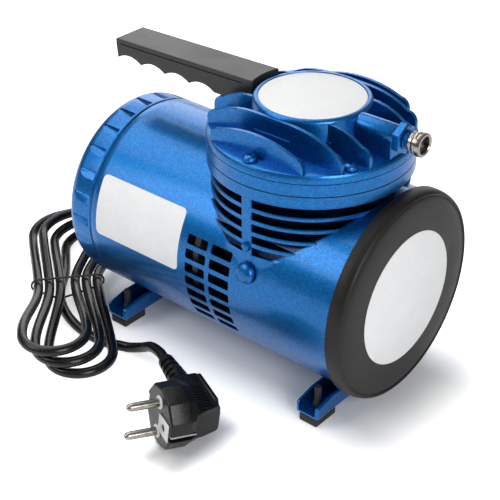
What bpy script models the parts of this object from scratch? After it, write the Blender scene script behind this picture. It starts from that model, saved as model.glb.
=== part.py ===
# Small diaphragm air compressor with a carrying handle and a mains lead.
# X runs along the motor drum from the rear cover to the front cover, Z is up,
# and the origin lies on the floor below the middle of the machine.

import math

import bmesh
import bpy
from mathutils import Matrix, Vector

# Clearances
FIT = 0.0003
CUT_MARGIN = 0.004

# Facets of round shapes
CASTING = 48
FINE = 40
MEDIUM = 28
COARSE = 10
HOLE = 8

# Motor drum and its covers
DRUM_RADIUS = 0.059
DRUM_WALL = 0.003
DRUM_LENGTH = 0.1779
REAR_COVER_LENGTH = 0.0216
REAR_COVER_WALL = 0.005
REAR_COVER_FILLET = 0.009
COVER_SPIGOT_LENGTH = 0.0045
COVER_SPIGOT_WALL = 0.003
NOTCH_COUNT = 25
NOTCH_START = math.radians(2.3)
NOTCH_LENGTH = 0.0125
NOTCH_WIDTH = 0.0046
NOTCH_DEPTH = 0.0022
NOTCH_SETBACK = 0.002
FRONT_COVER_RADIUS = 0.0617
FRONT_COVER_THICKNESS = 0.0098
FRONT_COVER_WALL = 0.003
FRONT_FACE_RADIUS = 0.042

# Side grille, as angles round the drum axis from +Y
GRILLE_ROWS = 7
GRILLE_PITCH = math.radians(8.45)
GRILLE_MIDDLE = math.radians(185.2)
GRILLE_SLOT_HEIGHT = 0.0058
GRILLE_SLOT_LENGTH = 0.0148
GRILLE_BRIDGE = 0.003
GRILLE_SETBACK = 0.0265

# Pump tower with its cooling fins
HEAD_FRONT_ROOM = 0.00105
TOWER_INSET = 0.0035
TOWER_FIN_DEPTH = 0.0085
TOWER_WALL = 0.005
TOWER_FIN_COUNT = 5
TOWER_FIN_PITCH = 0.0073
TOWER_FIN_THICKNESS = 0.0025
TOWER_RIB_WIDTH = 0.007
TOWER_RIB_INSET = 0.0002
FLANGE_INSET = 0.0016
FLANGE_RISE = 0.0038
FLANGE_THICKNESS = 0.007

# Head stack above the flange
DIAPHRAGM_THICKNESS = 0.0012
VALVE_PLATE_THICKNESS = 0.0059
CHAMBER_DEPTH = 0.0039
CHAMBER_RADIUS = 0.0415
GASKET_THICKNESS = 0.0004
GASKET_INSET = 0.0006
COVER_PLATE_THICKNESS = 0.0046
COVER_PLATE_EDGE = 0.0008
BOSS_RADIUS = 0.0326
BOSS_HEIGHT = 0.0185
BOSS_EDGE = 0.0018
DISCHARGE_RADIUS = 0.028
DISCHARGE_ROOF = 0.004
FIN_STEP = 0.014
FIN_ROW_SHIFT = 0.00015
FIN_SCREW_ROOM = 0.0005
FIN_THICKNESS = 0.0022
FIN_CROWN = 0.0168
FIN_FALL = 0.0113659133
FIN_INSET = 0.0009
FIN_CORNER = 0.006
HEAD_SCREW_COUNT = 6
HEAD_SCREW_EDGE = 0.0051
HEAD_SCREW_RADIUS = 0.002
HEAD_SCREW_HEAD_RADIUS = 0.0037
HEAD_SCREW_HEAD_HEIGHT = 0.003
HEAD_SCREW_BITE = 0.0045

# Outlet on the front of the head
OUTLET_DROP = 0.0066
OUTLET_TUBE_RADIUS = 0.005
OUTLET_SETBACK = 0.0044
OUTLET_BORE_RADIUS = 0.0036
FITTING_STEM_LENGTH = 0.008
FITTING_HEX_FLATS = 0.0135
FITTING_HEX_LENGTH = 0.005
FITTING_THREAD_RADIUS = 0.0052
FITTING_THREAD_LENGTH = 0.003
AIRWAY_RADIUS = 0.0021
NIPPLE_LENGTH = 0.011
NIPPLE_RADIUS = 0.0066
NIPPLE_NECK_RADIUS = 0.0056
NIPPLE_COLLAR_LENGTH = 0.006
NIPPLE_BORE_RADIUS = 0.0036

# Carrying handle
HANDLE_WIDTH = 0.023
HANDLE_REAR_REACH = 0.1372
HANDLE_REAR_DROP = 0.0014
HANDLE_FRONT_RISE = 0.002
HANDLE_DEPTH = 0.012
HANDLE_GRIP_COUNT = 4
HANDLE_GRIP_PITCH = 0.019
HANDLE_GRIP_DEPTH = 0.003
HANDLE_ROOT_INSET = 0.0019
HANDLE_BOSS_GAP = 0.002
HANDLE_EDGE = 0.002
HANDLE_SCREW_SHARES = (0.736842, 0.23445)
HANDLE_SCREW_RADIUS = 0.0018
HANDLE_SCREW_HEAD_RADIUS = 0.0034
HANDLE_SCREW_HEAD_HEIGHT = 0.0022
HANDLE_SCREW_BITE = 0.009

# Round plug in the side of the drum
SIDE_PLUG_X = 0.0015
SIDE_PLUG_ANGLE = math.radians(164)
SIDE_PLUG_RADIUS = 0.006
SIDE_PLUG_HEIGHT = 0.004
SIDE_PLUG_STEM_RADIUS = 0.004

# Foot bars and rubber feet
FOOT_HEIGHT = 0.006
FOOT_LENGTH = 0.018
FOOT_WIDTH = 0.0125
FOOT_STEM_RADIUS = 0.0021
FOOT_STEM_HEIGHT = 0.0135
FOOT_COLLAR_RADIUS = 0.0029
FOOT_COLLAR_HEIGHT = 0.003
BAR_WIDTH = 0.0154
BAR_SHEET = 0.002
BAR_WALL_HEIGHT = 0.0075
BAR_WALL_RISE = 0.003
BAR_HALF_SPAN = 0.053
BAR_RISE_SPAN = 0.015
BAR_DRUM_SPACE = 0.003
BAR_END_SETBACK = 0.0118
BAR_SCREW_RADIUS = 0.0022
BAR_SCREW_HEAD_RADIUS = 0.0042
BAR_SCREW_HEAD_HEIGHT = 0.0026
FRONT_BAR_SETBACK = 0.0162

# Motor and crank
SHAFT_RADIUS = 0.004
SHAFT_FAN_REACH = 0.00355
BEARING_RADIUS = 0.011
BEARING_WIDTH = 0.007
BEARING_POCKET_WALL = 0.004
STATOR_FLAT_ANGLE = math.radians(44.0994602)
STATOR_SETBACK = 0.014
ROTOR_RADIUS = 0.0277
AIR_GAP = 0.0006
WINDING_LENGTH = 0.011
WINDING_ROOM = 0.01415
WINDING_OUTER_RADIUS = 0.039
BRACKET_THICKNESS = 0.004
BRACKET_SETBACK = 0.04
BRACKET_WINDOW_RADIUS = 0.0105
BRACKET_WINDOW_CIRCLE = 0.036
CRANK_OFFSET = 0.002
ECCENTRIC_RADIUS = 0.01
ECCENTRIC_LENGTH = 0.011
COUNTERWEIGHT_RADIUS = 0.022
COUNTERWEIGHT_LENGTH = 0.007
ROD_BEARING_RADIUS = 0.015
ROD_WIDTH = 0.007
ROD_RING_WALL = 0.0042
ROD_SHANK_WIDTH = 0.012
ROD_PLATE_RADIUS = 0.029
ROD_PLATE_THICKNESS = 0.004
ROD_SCREW_BITE = 0.009
RETAINER_RADIUS = 0.028
RETAINER_THICKNESS = 0.0016
RETAINER_SCREW_RADIUS = 0.0022
RETAINER_SCREW_HEAD_RADIUS = 0.0045
RETAINER_SCREW_HEAD_HEIGHT = 0.0009
FAN_RADIUS = 0.048
FAN_HUB_RADIUS = 0.009
FAN_DEPTH = 0.011
FAN_BLADES = 8
FAN_SETBACK = 0.012
BLADE_THICKNESS = 0.002
BLADE_TILT = math.radians(35)

# Reed valves
REED_THICKNESS = 0.0004
PORT_RADIUS = 0.0025
EXHAUST_REED_LENGTH = 0.024
EXHAUST_REED_WIDTH = 0.008
EXHAUST_PORT_OFFSET = 0.008
INTAKE_REED_LENGTH = 0.018
INTAKE_REED_WIDTH = 0.006
INTAKE_PORT_OFFSET = 0.0355
INTAKE_CHAMBER_RADIUS = 0.006
INTAKE_CHAMBER_DEPTH = 0.0024
INTAKE_HOLE_RADIUS = 0.0015

# Mains lead, its hank and its plug
CORD_DIAMETER = 0.0062
GLAND_SIDE = 0.024
GLAND_DROP = 0.034
GLAND_STEM_RADIUS = 0.0052
GLAND_FLANGE_RADIUS = 0.0078
GLAND_FLANGE_LENGTH = 0.0025
GLAND_LENGTH = 0.025
GLAND_TIP_RADIUS = 0.0046
HANK_CENTRE = Vector((-0.1188, -0.054, 0.0))
HANK_ANGLE = math.radians(-40)
HANK_LOOPS = 3
HANK_FAR = 0.054
HANK_NEAR = 0.070
HANK_NEAR_STEP = 0.0025
HANK_OUTSIDE = 0.008
HANK_WAIST = 0.0116
HANK_FAR_WIDTH = 0.0228
HANK_NEAR_WIDTH = 0.019
HANK_FAR_SHIFT = 0.0095
HANK_NEAR_SHIFT = -0.0035
HANK_FIRST = -0.0053
HANK_STEP = 0.0070
HANK_LAYER = 0.0070
HANK_LIFT = 0.0019
HANK_LEAD_LAYER = 1.7
TAIL_PLAN = (
    (-0.025, 0.0008), (0.0, -0.0036), (0.018, -0.0022), (0.034, 0.0035), (0.047, 0.0120), (0.0575, 0.0230),
)
TAIL_LEAN = 61.0
TIE_RADIUS = 0.0007
TIE_ROOM = 0.0005
LEAD_ROUTE = (
    Vector((-0.1520, 0.0226, 0.0309)),
    Vector((-0.1627, 0.0178, 0.0214)),
)
TAIL_ROUTE = (
    Vector((-0.0385, -0.0672, 0.0070)),
    Vector((-0.0280, -0.0688, 0.0133)),
)
PLUG_FACE = Vector((0.0254, -0.1190, 0.0))
PLUG_HEADING = math.radians(245)
PLUG_TILT = math.radians(7)
PLUG_RADIUS = 0.0185
PLUG_RIM_DEPTH = 0.012
PLUG_DEPTH = 0.032
PLUG_BACK_WIDTH = 0.02
PLUG_BACK_HEIGHT = 0.022
PLUG_NECK_REACH = 0.0235
PLUG_NECK_DEPTH = 0.0235
PLUG_NECK_RADIUS = 0.0068
PIN_RADIUS = 0.0024
PIN_LENGTH = 0.019
PIN_SPACING = 0.019
SLEEVE_LENGTH = 0.026
SLEEVE_RADIUS = 0.0062
SLEEVE_TIP_RADIUS = 0.0042
SLEEVE_RIBS = 5
SLEEVE_GROOVE = 0.0007

# Places worked out from the sizes above
AXIS_Z = FOOT_HEIGHT + BAR_SHEET + BAR_DRUM_SPACE + DRUM_RADIUS
FLANGE_RADIUS = DRUM_RADIUS - FLANGE_INSET
HEAD_SETBACK = FLANGE_RADIUS + HEAD_FRONT_ROOM
OUTLET_TUBE_END = FLANGE_RADIUS - OUTLET_SETBACK
OUTLET_END = (
    OUTLET_TUBE_END + FITTING_HEX_LENGTH + FITTING_THREAD_LENGTH + NIPPLE_LENGTH + 2 * FIT
)
OVERALL_LENGTH = REAR_COVER_LENGTH + DRUM_LENGTH - HEAD_SETBACK + OUTLET_END
REAR_X = -OVERALL_LENGTH / 2
SEAM_X = REAR_X + REAR_COVER_LENGTH
FRONT_SEAM_X = SEAM_X + DRUM_LENGTH
HEAD_X = FRONT_SEAM_X - HEAD_SETBACK
DRUM_BORE_RADIUS = DRUM_RADIUS - DRUM_WALL
SEAT_RADIUS = DRUM_BORE_RADIUS - FIT
TOWER_RADIUS = DRUM_RADIUS - TOWER_INSET
TOWER_ROOT_RADIUS = TOWER_RADIUS - TOWER_FIN_DEPTH
TOWER_BORE_RADIUS = TOWER_ROOT_RADIUS - TOWER_WALL
TOWER_RIB_REACH = TOWER_RADIUS - TOWER_RIB_INSET
FLANGE_BOTTOM = DRUM_RADIUS + FLANGE_RISE
FLANGE_TOP = AXIS_Z + FLANGE_BOTTOM + FLANGE_THICKNESS
DIAPHRAGM_Z = FLANGE_TOP + FIT
VALVE_PLATE_Z = DIAPHRAGM_Z + DIAPHRAGM_THICKNESS + FIT
VALVE_PLATE_TOP = VALVE_PLATE_Z + VALVE_PLATE_THICKNESS
GASKET_Z = VALVE_PLATE_TOP + FIT
COVER_Z = GASKET_Z + GASKET_THICKNESS + FIT
COVER_TOP = COVER_Z + COVER_PLATE_THICKNESS
BOSS_TOP = COVER_TOP + BOSS_HEIGHT
OUTLET_Z = BOSS_TOP - OUTLET_DROP
GASKET_RADIUS = FLANGE_RADIUS - GASKET_INSET
HEAD_SCREW_CIRCLE = FLANGE_RADIUS - HEAD_SCREW_EDGE
FIN_RADIUS = FLANGE_RADIUS - FIN_INSET
FIN_FIRST = HEAD_SCREW_CIRCLE / 2 - FIN_STEP / 2 - FIN_ROW_SHIFT
FIN_LAST = HEAD_SCREW_CIRCLE - HEAD_SCREW_HEAD_RADIUS - FIN_SCREW_ROOM - FIN_THICKNESS / 2
FIN_OFFSETS = (FIN_FIRST, FIN_FIRST + FIN_STEP, FIN_LAST)
HANDLE_ROOT_REACH = FLANGE_RADIUS - HANDLE_ROOT_INSET
HANDLE_FRONT_REACH = BOSS_RADIUS + HANDLE_BOSS_GAP
HANDLE_SCREW_REACHES = [
    HANDLE_FRONT_REACH + share * (HANDLE_ROOT_REACH - HANDLE_FRONT_REACH) for share in HANDLE_SCREW_SHARES
]
BAR_TOP = FOOT_HEIGHT + BAR_SHEET
REAR_BAR_X = SEAM_X + BAR_END_SETBACK
FRONT_BAR_X = FRONT_SEAM_X - FRONT_BAR_SETBACK
STATOR_X = SEAM_X + STATOR_SETBACK
BRACKET_X = HEAD_X - BRACKET_SETBACK
STATOR_LENGTH = BRACKET_X - WINDING_ROOM - WINDING_LENGTH - FIT - STATOR_X
REAR_BEARING_X = REAR_X + REAR_COVER_WALL + FIT
FAN_X = FRONT_SEAM_X - FAN_SETBACK - FAN_DEPTH
GRILLE_X = HEAD_X - GRILLE_SETBACK
CORD_RADIUS = CORD_DIAMETER / 2

AXES = {"X": Vector((1, 0, 0)), "Y": Vector((0, 1, 0)), "Z": Vector((0, 0, 1))}


def clear_scene():
    for item in list(bpy.data.objects):
        bpy.data.objects.remove(item)


def finish(name, colour, roughness, metallic):
    material = bpy.data.materials.new(name)
    material.use_nodes = True
    shader = material.node_tree.nodes["Principled BSDF"]
    shader.inputs["Base Color"].default_value = (*colour, 1.0)
    shader.inputs["Roughness"].default_value = roughness
    shader.inputs["Metallic"].default_value = metallic
    return material


def add_object(name, shape, place=(0, 0, 0), look=None):
    mesh = bpy.data.meshes.new(name)
    bmesh.ops.recalc_face_normals(shape, faces=shape.faces)
    shape.to_mesh(mesh)
    shape.free()
    mesh.shade_smooth()
    mesh.set_sharp_from_angle(angle=math.radians(30))
    item = bpy.data.objects.new(name, mesh)
    item.location = place
    bpy.context.scene.collection.objects.link(item)
    if look is not None:
        mesh.materials.append(look)
    return item


def tool(name, shape, place=(0, 0, 0)):
    item = add_object(name, shape, place)
    item.hide_render = True
    item.display_type = "WIRE"
    return item


def combine(target, other, operation):
    step = target.modifiers.new(other.name, "BOOLEAN")
    step.operation = operation
    step.object = other
    step.solver = "EXACT"


def cut(target, other):
    combine(target, other, "DIFFERENCE")


def weld(target, other):
    combine(target, other, "UNION")


def turn(profile, axis, facets):
    """Turn (radius, along) pairs about an axis; a profile off the axis is closed on itself."""
    shape = bmesh.new()
    side = AXES["Z"] if axis == "X" else AXES["X"]
    points = [shape.verts.new(AXES[axis] * along + side * radius) for radius, along in profile]
    edges = [shape.edges.new(pair) for pair in zip(points, points[1:])]
    if profile[0][0] > 0:
        edges.append(shape.edges.new((points[-1], points[0])))
    bmesh.ops.spin(
        shape, geom=points + edges, axis=AXES[axis], cent=(0, 0, 0),
        angle=math.tau, steps=facets, use_merge=True,
    )
    bmesh.ops.remove_doubles(shape, verts=shape.verts, dist=1e-7)
    return shape


def rod_shape(radius, low, high, axis, facets):
    return turn([(0, high), (radius, high), (radius, low), (0, low)], axis, facets)


def ring_shape(inner, outer, low, high, axis, facets):
    return turn([(inner, high), (outer, high), (outer, low), (inner, low)], axis, facets)


def prism(outline, axis, low, high):
    """Extrude an outline along an axis; it lies on the other two axes, in X, Y, Z order."""
    first, second = [AXES[name] for name in "XYZ" if name != axis]
    shape = bmesh.new()
    points = [shape.verts.new(first * u + second * v + AXES[axis] * low) for u, v in outline]
    face = shape.faces.new(points)
    grown = bmesh.ops.extrude_face_region(shape, geom=[face])
    moved = [part for part in grown["geom"] if isinstance(part, bmesh.types.BMVert)]
    bmesh.ops.translate(shape, verts=moved, vec=AXES[axis] * (high - low))
    return shape


def block(low, high):
    outline = [(low[0], low[1]), (high[0], low[1]), (high[0], high[1]), (low[0], high[1])]
    return prism(outline, "Z", low[2], high[2])


def gather(shapes):
    """Put separate closed shapes into one, for a tool that cuts in several places."""
    whole = bmesh.new()
    for shape in shapes:
        bmesh.ops.recalc_face_normals(shape, faces=shape.faces)
        mesh = bpy.data.meshes.new("gathered")
        shape.to_mesh(mesh)
        shape.free()
        whole.from_mesh(mesh)
        bpy.data.meshes.remove(mesh)
    return whole


def moved(shape, matrix):
    bmesh.ops.transform(shape, matrix=matrix, verts=shape.verts)
    return shape


def arc(centre, radius, start, end, steps):
    return [
        (
            centre[0] + radius * math.cos(start + (end - start) * i / steps),
            centre[1] + radius * math.sin(start + (end - start) * i / steps),
        )
        for i in range(steps + 1)
    ]


def circle_places(radius, count, start=0.0):
    turns = [start + math.tau * i / count for i in range(count)]
    return [(radius * math.cos(a), radius * math.sin(a), a) for a in turns]


def smooth_route(points, steps):
    """Read points from a curve through every point of a route, with its first and last runs straight."""
    result = [points[0]]
    for before, start, end, after in zip(points, points[1:], points[2:], points[3:]):
        for i in range(steps):
            t = i / steps
            result.append(
                0.5 * (
                    2 * start + (end - before) * t
                    + (2 * before - 5 * start + 4 * end - after) * t ** 2
                    + (3 * start - before - 3 * end + after) * t ** 3
                )
            )
    return result + [points[-2], points[-1]]


def tube(name, points, radius, sides, look, cyclic=False):
    curve = bpy.data.curves.new(name, "CURVE")
    curve.dimensions = "3D"
    curve.bevel_depth = radius
    curve.bevel_resolution = sides
    curve.use_fill_caps = not cyclic
    spline = curve.splines.new("POLY")
    spline.points.add(len(points) - 1)
    for spot, point in zip(spline.points, points):
        spot.co = (*point, 1.0)
    spline.use_cyclic_u = cyclic
    curve.materials.append(look)
    item = bpy.data.objects.new(name, curve)
    bpy.context.scene.collection.objects.link(item)
    return item


clear_scene()
BLUE_PAINT = finish("blue_paint", (0.02, 0.13, 0.50), 0.35, 0.6)
BLACK_PLASTIC = finish("black_plastic", (0.055, 0.05, 0.047), 0.45, 0.0)
BLACK_RUBBER = finish("black_rubber", (0.02, 0.02, 0.02), 0.8, 0.0)
CORD_PVC = finish("cord_pvc", (0.012, 0.012, 0.012), 0.3, 0.0)
PLUG_PVC = finish("plug_pvc", (0.018, 0.017, 0.016), 0.45, 0.0)
NICKEL = finish("nickel", (0.72, 0.66, 0.55), 0.22, 1.0)
STEEL = finish("steel", (0.55, 0.55, 0.56), 0.35, 1.0)
LAMINATION = finish("lamination", (0.18, 0.18, 0.19), 0.5, 0.9)
COPPER = finish("copper", (0.62, 0.26, 0.10), 0.4, 0.9)
ALUMINIUM = finish("aluminium", (0.62, 0.63, 0.65), 0.4, 1.0)
FAN_PLASTIC = finish("fan_plastic", (0.06, 0.06, 0.065), 0.5, 0.0)


# Motor housing: drum, pump tower and flange in one casting
def tower_profile():
    """Solid tower with a groove under the flange and between its cooling fins."""
    top = FLANGE_BOTTOM + FLANGE_THICKNESS
    points = [(0, top), (FLANGE_RADIUS, top), (FLANGE_RADIUS, FLANGE_BOTTOM)]
    first = FLANGE_BOTTOM - TOWER_FIN_PITCH
    for i in range(TOWER_FIN_COUNT):
        middle = first - i * TOWER_FIN_PITCH
        upper = middle + TOWER_FIN_THICKNESS / 2
        lower = middle - TOWER_FIN_THICKNESS / 2
        above = FLANGE_BOTTOM if i == 0 else middle + TOWER_FIN_PITCH - TOWER_FIN_THICKNESS / 2
        points += [(TOWER_ROOT_RADIUS, above), (TOWER_ROOT_RADIUS, upper), (TOWER_RADIUS, upper)]
        if i < TOWER_FIN_COUNT - 1:
            points.append((TOWER_RADIUS, lower))
    points += [(TOWER_RADIUS, 0), (0, 0)]
    return points


def grille_shapes():
    shapes = []
    half_length = GRILLE_SLOT_LENGTH / 2
    for row in range(GRILLE_ROWS):
        angle = GRILLE_MIDDLE + (row - (GRILLE_ROWS - 1) / 2) * GRILLE_PITCH
        for column in (-1, 1):
            x = GRILLE_X + column * (half_length + GRILLE_BRIDGE / 2)
            for turned in (angle, math.pi - angle):
                slot = block(
                    (x - half_length, DRUM_BORE_RADIUS - CUT_MARGIN, -GRILLE_SLOT_HEIGHT / 2),
                    (x + half_length, DRUM_RADIUS + CUT_MARGIN, GRILLE_SLOT_HEIGHT / 2),
                )
                shapes.append(moved(slot, Matrix.Rotation(turned, 4, "X")))
    return shapes


drum_place = (0, 0, AXIS_Z)
head_place = (HEAD_X, 0, AXIS_Z)
drum_shape = rod_shape(DRUM_RADIUS, SEAM_X + FIT, FRONT_SEAM_X, "X", CASTING)
motor_housing = add_object("motor_housing", drum_shape, drum_place, BLUE_PAINT)
weld(motor_housing, tool("tower_tool", turn(tower_profile(), "Z", CASTING), head_place))
rib_top = FLANGE_BOTTOM + FLANGE_THICKNESS / 2
rib_low = DRUM_WALL / 3
rib_root = (TOWER_BORE_RADIUS + TOWER_ROOT_RADIUS) / 2
rib_shapes = [
    block(
        (-TOWER_RIB_WIDTH / 2, min(side * rib_root, side * TOWER_RIB_REACH), rib_low),
        (TOWER_RIB_WIDTH / 2, max(side * rib_root, side * TOWER_RIB_REACH), rib_top),
    )
    for side in (-1, 1)
]
weld(motor_housing, tool("tower_rib_tool", gather(rib_shapes), head_place))
drum_bore = rod_shape(
    DRUM_BORE_RADIUS, SEAM_X - CUT_MARGIN, FRONT_SEAM_X + CUT_MARGIN, "X", CASTING
)
cut(motor_housing, tool("drum_bore_tool", drum_bore, drum_place))
tower_bore = rod_shape(
    TOWER_BORE_RADIUS, DRUM_BORE_RADIUS / 2, FLANGE_BOTTOM + FLANGE_THICKNESS + CUT_MARGIN, "Z", CASTING
)
cut(motor_housing, tool("tower_bore_tool", tower_bore, head_place))
cut(motor_housing, tool("grille_tool", gather(grille_shapes()), drum_place))
head_screw_places = circle_places(HEAD_SCREW_CIRCLE, HEAD_SCREW_COUNT, math.radians(-90))
head_screw_low = FLANGE_TOP - HEAD_SCREW_BITE
flange_holes = [
    moved(
        rod_shape(HEAD_SCREW_RADIUS + FIT, head_screw_low - FIT, COVER_TOP + CUT_MARGIN, "Z", HOLE),
        Matrix.Translation((HEAD_X + x, y, 0)),
    )
    for x, y, _ in head_screw_places
]
head_screw_tool = tool("head_screw_tool", gather(flange_holes))
cut(motor_housing, head_screw_tool)
bar_screw_top = BAR_TOP + BAR_DRUM_SPACE + DRUM_WALL
bar_screw_shapes = [
    moved(
        rod_shape(BAR_SCREW_RADIUS + FIT, 0, bar_screw_top + CUT_MARGIN, "Z", COARSE),
        Matrix.Translation((x, 0, 0)),
    )
    for x in (REAR_BAR_X, FRONT_BAR_X)
]
bar_screw_tool = tool("bar_screw_tool", gather(bar_screw_shapes))
cut(motor_housing, bar_screw_tool)

# Round plug pressed into the side of the drum
plug_turn = Matrix.Rotation(SIDE_PLUG_ANGLE, 4, "X") @ Matrix.Rotation(math.radians(-90), 4, "X")
plug_seat = DRUM_RADIUS + FIT
side_plug_shape = turn(
    [
        (0, plug_seat + SIDE_PLUG_HEIGHT),
        (SIDE_PLUG_RADIUS * 0.6, plug_seat + SIDE_PLUG_HEIGHT * 0.95),
        (SIDE_PLUG_RADIUS * 0.9, plug_seat + SIDE_PLUG_HEIGHT * 0.7),
        (SIDE_PLUG_RADIUS, plug_seat + SIDE_PLUG_HEIGHT * 0.3),
        (SIDE_PLUG_RADIUS, plug_seat),
        (SIDE_PLUG_STEM_RADIUS, plug_seat),
        (SIDE_PLUG_STEM_RADIUS, DRUM_BORE_RADIUS),
        (0, DRUM_BORE_RADIUS),
    ],
    "Z", 20,
)
side_plug_place = (SIDE_PLUG_X + HEAD_X, 0, AXIS_Z)
add_object("side_plug", moved(side_plug_shape, plug_turn), side_plug_place, BLUE_PAINT)
plug_hole = turn(
    [
        (0, plug_seat + SIDE_PLUG_HEIGHT + CUT_MARGIN),
        (SIDE_PLUG_RADIUS + FIT, plug_seat + SIDE_PLUG_HEIGHT + CUT_MARGIN),
        (SIDE_PLUG_RADIUS + FIT, DRUM_RADIUS),
        (SIDE_PLUG_STEM_RADIUS + FIT, DRUM_RADIUS),
        (SIDE_PLUG_STEM_RADIUS + FIT, DRUM_BORE_RADIUS - CUT_MARGIN),
        (0, DRUM_BORE_RADIUS - CUT_MARGIN),
    ],
    "Z", 20,
)
cut(motor_housing, tool("side_plug_tool", moved(plug_hole, plug_turn), side_plug_place))

# Rear cover with its bearing pocket, spigot and gripping notches
pocket_radius = BEARING_RADIUS + FIT
pocket_end = REAR_X + REAR_COVER_WALL + 2 * FIT + BEARING_WIDTH
rear_inner = SEAT_RADIUS - COVER_SPIGOT_WALL
rear_profile = [(0, REAR_X)]
rear_profile += [
    (radius, x) for x, radius in arc(
        (REAR_X + REAR_COVER_FILLET, DRUM_RADIUS - REAR_COVER_FILLET), REAR_COVER_FILLET,
        math.radians(180), math.radians(90), 5,
    )
]
rear_profile += [
    (DRUM_RADIUS, SEAM_X),
    (SEAT_RADIUS, SEAM_X),
    (SEAT_RADIUS, SEAM_X + COVER_SPIGOT_LENGTH),
    (rear_inner, SEAM_X + COVER_SPIGOT_LENGTH),
    (rear_inner, REAR_X + REAR_COVER_WALL),
    (pocket_radius + BEARING_POCKET_WALL, REAR_X + REAR_COVER_WALL),
    (pocket_radius + BEARING_POCKET_WALL, pocket_end),
    (pocket_radius, pocket_end),
    (pocket_radius, REAR_X + REAR_COVER_WALL),
    (0, REAR_X + REAR_COVER_WALL),
]
rear_cover = add_object("rear_cover", turn(rear_profile, "X", FINE), drum_place, BLUE_PAINT)
notch_start = SEAM_X - NOTCH_SETBACK
notch_shapes = []
for i in range(NOTCH_COUNT):
    notch = prism(
        [
            (notch_start, DRUM_RADIUS - NOTCH_DEPTH),
            (notch_start, DRUM_RADIUS + CUT_MARGIN),
            (notch_start - NOTCH_LENGTH, DRUM_RADIUS + CUT_MARGIN),
            (notch_start - NOTCH_LENGTH, DRUM_RADIUS - NOTCH_DEPTH * 0.3),
        ],
        "Y", -NOTCH_WIDTH / 2, NOTCH_WIDTH / 2,
    )
    notch_shapes.append(moved(notch, Matrix.Rotation(NOTCH_START + math.tau * i / NOTCH_COUNT, 4, "X")))
cut(rear_cover, tool("notch_tool", gather(notch_shapes), drum_place))
gland_place = (REAR_X, GLAND_SIDE, AXIS_Z - GLAND_DROP)
gland_hole = rod_shape(GLAND_STEM_RADIUS + FIT, -CUT_MARGIN, REAR_COVER_WALL + CUT_MARGIN, "X", 20)
cut(rear_cover, tool("gland_tool", gland_hole, gland_place))

# Front cover: a deep plastic cap on a spigot inside the drum
front_rim = FRONT_SEAM_X + FIT
face_x = front_rim + FRONT_COVER_THICKNESS
front_inner = SEAT_RADIUS - COVER_SPIGOT_WALL
front_profile = [
    (0, face_x),
    (FRONT_FACE_RADIUS, face_x),
    (FRONT_COVER_RADIUS - 0.0097, face_x - 0.0004),
    (FRONT_COVER_RADIUS - 0.0038, face_x - 0.0014),
    (FRONT_COVER_RADIUS - 0.0028, face_x - 0.0014),
    (FRONT_COVER_RADIUS - 0.0020, face_x - 0.0010),
    (FRONT_COVER_RADIUS - 0.0010, face_x - 0.0017),
    (FRONT_COVER_RADIUS - 0.0003, face_x - 0.0040),
    (FRONT_COVER_RADIUS, face_x - 0.0065),
    (FRONT_COVER_RADIUS, front_rim),
    (SEAT_RADIUS, front_rim),
    (SEAT_RADIUS, front_rim - COVER_SPIGOT_LENGTH),
    (front_inner, front_rim - COVER_SPIGOT_LENGTH),
    (front_inner, face_x - 0.0012 - FRONT_COVER_WALL),
    (FRONT_FACE_RADIUS, face_x - FRONT_COVER_WALL),
    (0, face_x - FRONT_COVER_WALL),
]
add_object("front_cover", turn(front_profile, "X", FINE), drum_place, BLACK_PLASTIC)

# Diaphragm, drawn down in the middle as at the bottom of the stroke
free_radius = TOWER_BORE_RADIUS
diaphragm_hole = RETAINER_SCREW_RADIUS + FIT
diaphragm_profile = []
for rise in (DIAPHRAGM_THICKNESS, 0):
    line = [
        (GASKET_RADIUS, rise),
        (free_radius, rise),
        ((free_radius + ROD_PLATE_RADIUS) / 2, rise - CRANK_OFFSET / 2),
        (ROD_PLATE_RADIUS + FIT, rise - CRANK_OFFSET),
        (diaphragm_hole, rise - CRANK_OFFSET),
    ]
    diaphragm_profile += line if rise == 0 else line[::-1]
head_axis = (HEAD_X, 0, 0)
diaphragm = add_object(
    "diaphragm", turn(diaphragm_profile, "Z", MEDIUM), (HEAD_X, 0, DIAPHRAGM_Z), BLACK_RUBBER
)
cut(diaphragm, head_screw_tool)

# Valve plate with the pump chamber on its underside and two ports
valve_plate_profile = [
    (0, VALVE_PLATE_TOP),
    (FLANGE_RADIUS, VALVE_PLATE_TOP),
    (FLANGE_RADIUS, VALVE_PLATE_Z),
    (CHAMBER_RADIUS, VALVE_PLATE_Z),
    (CHAMBER_RADIUS, VALVE_PLATE_Z + CHAMBER_DEPTH),
    (0, VALVE_PLATE_Z + CHAMBER_DEPTH),
]
valve_plate = add_object("valve_plate", turn(valve_plate_profile, "Z", FINE), head_axis, BLUE_PAINT)
cut(valve_plate, head_screw_tool)
port_shapes = [
    moved(
        rod_shape(PORT_RADIUS, VALVE_PLATE_Z, VALVE_PLATE_TOP + CUT_MARGIN, "Z", COARSE),
        Matrix.Translation(place),
    )
    for place in ((EXHAUST_PORT_OFFSET, 0, 0), (0, INTAKE_PORT_OFFSET, 0))
]
cut(valve_plate, tool("port_tool", gather(port_shapes), head_axis))

# Gasket between the valve plate and the head cover
gasket_shape = ring_shape(
    DISCHARGE_RADIUS + FIT, GASKET_RADIUS, GASKET_Z, GASKET_Z + GASKET_THICKNESS, "Z", MEDIUM
)
head_gasket = add_object("head_gasket", gasket_shape, head_axis, BLACK_RUBBER)
cut(head_gasket, head_screw_tool)
gasket_port = rod_shape(INTAKE_CHAMBER_RADIUS, GASKET_Z - CUT_MARGIN, GASKET_Z + CUT_MARGIN, "Z", 20)
cut(head_gasket, tool("gasket_port_tool", gasket_port, (HEAD_X, INTAKE_PORT_OFFSET, 0)))

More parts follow.
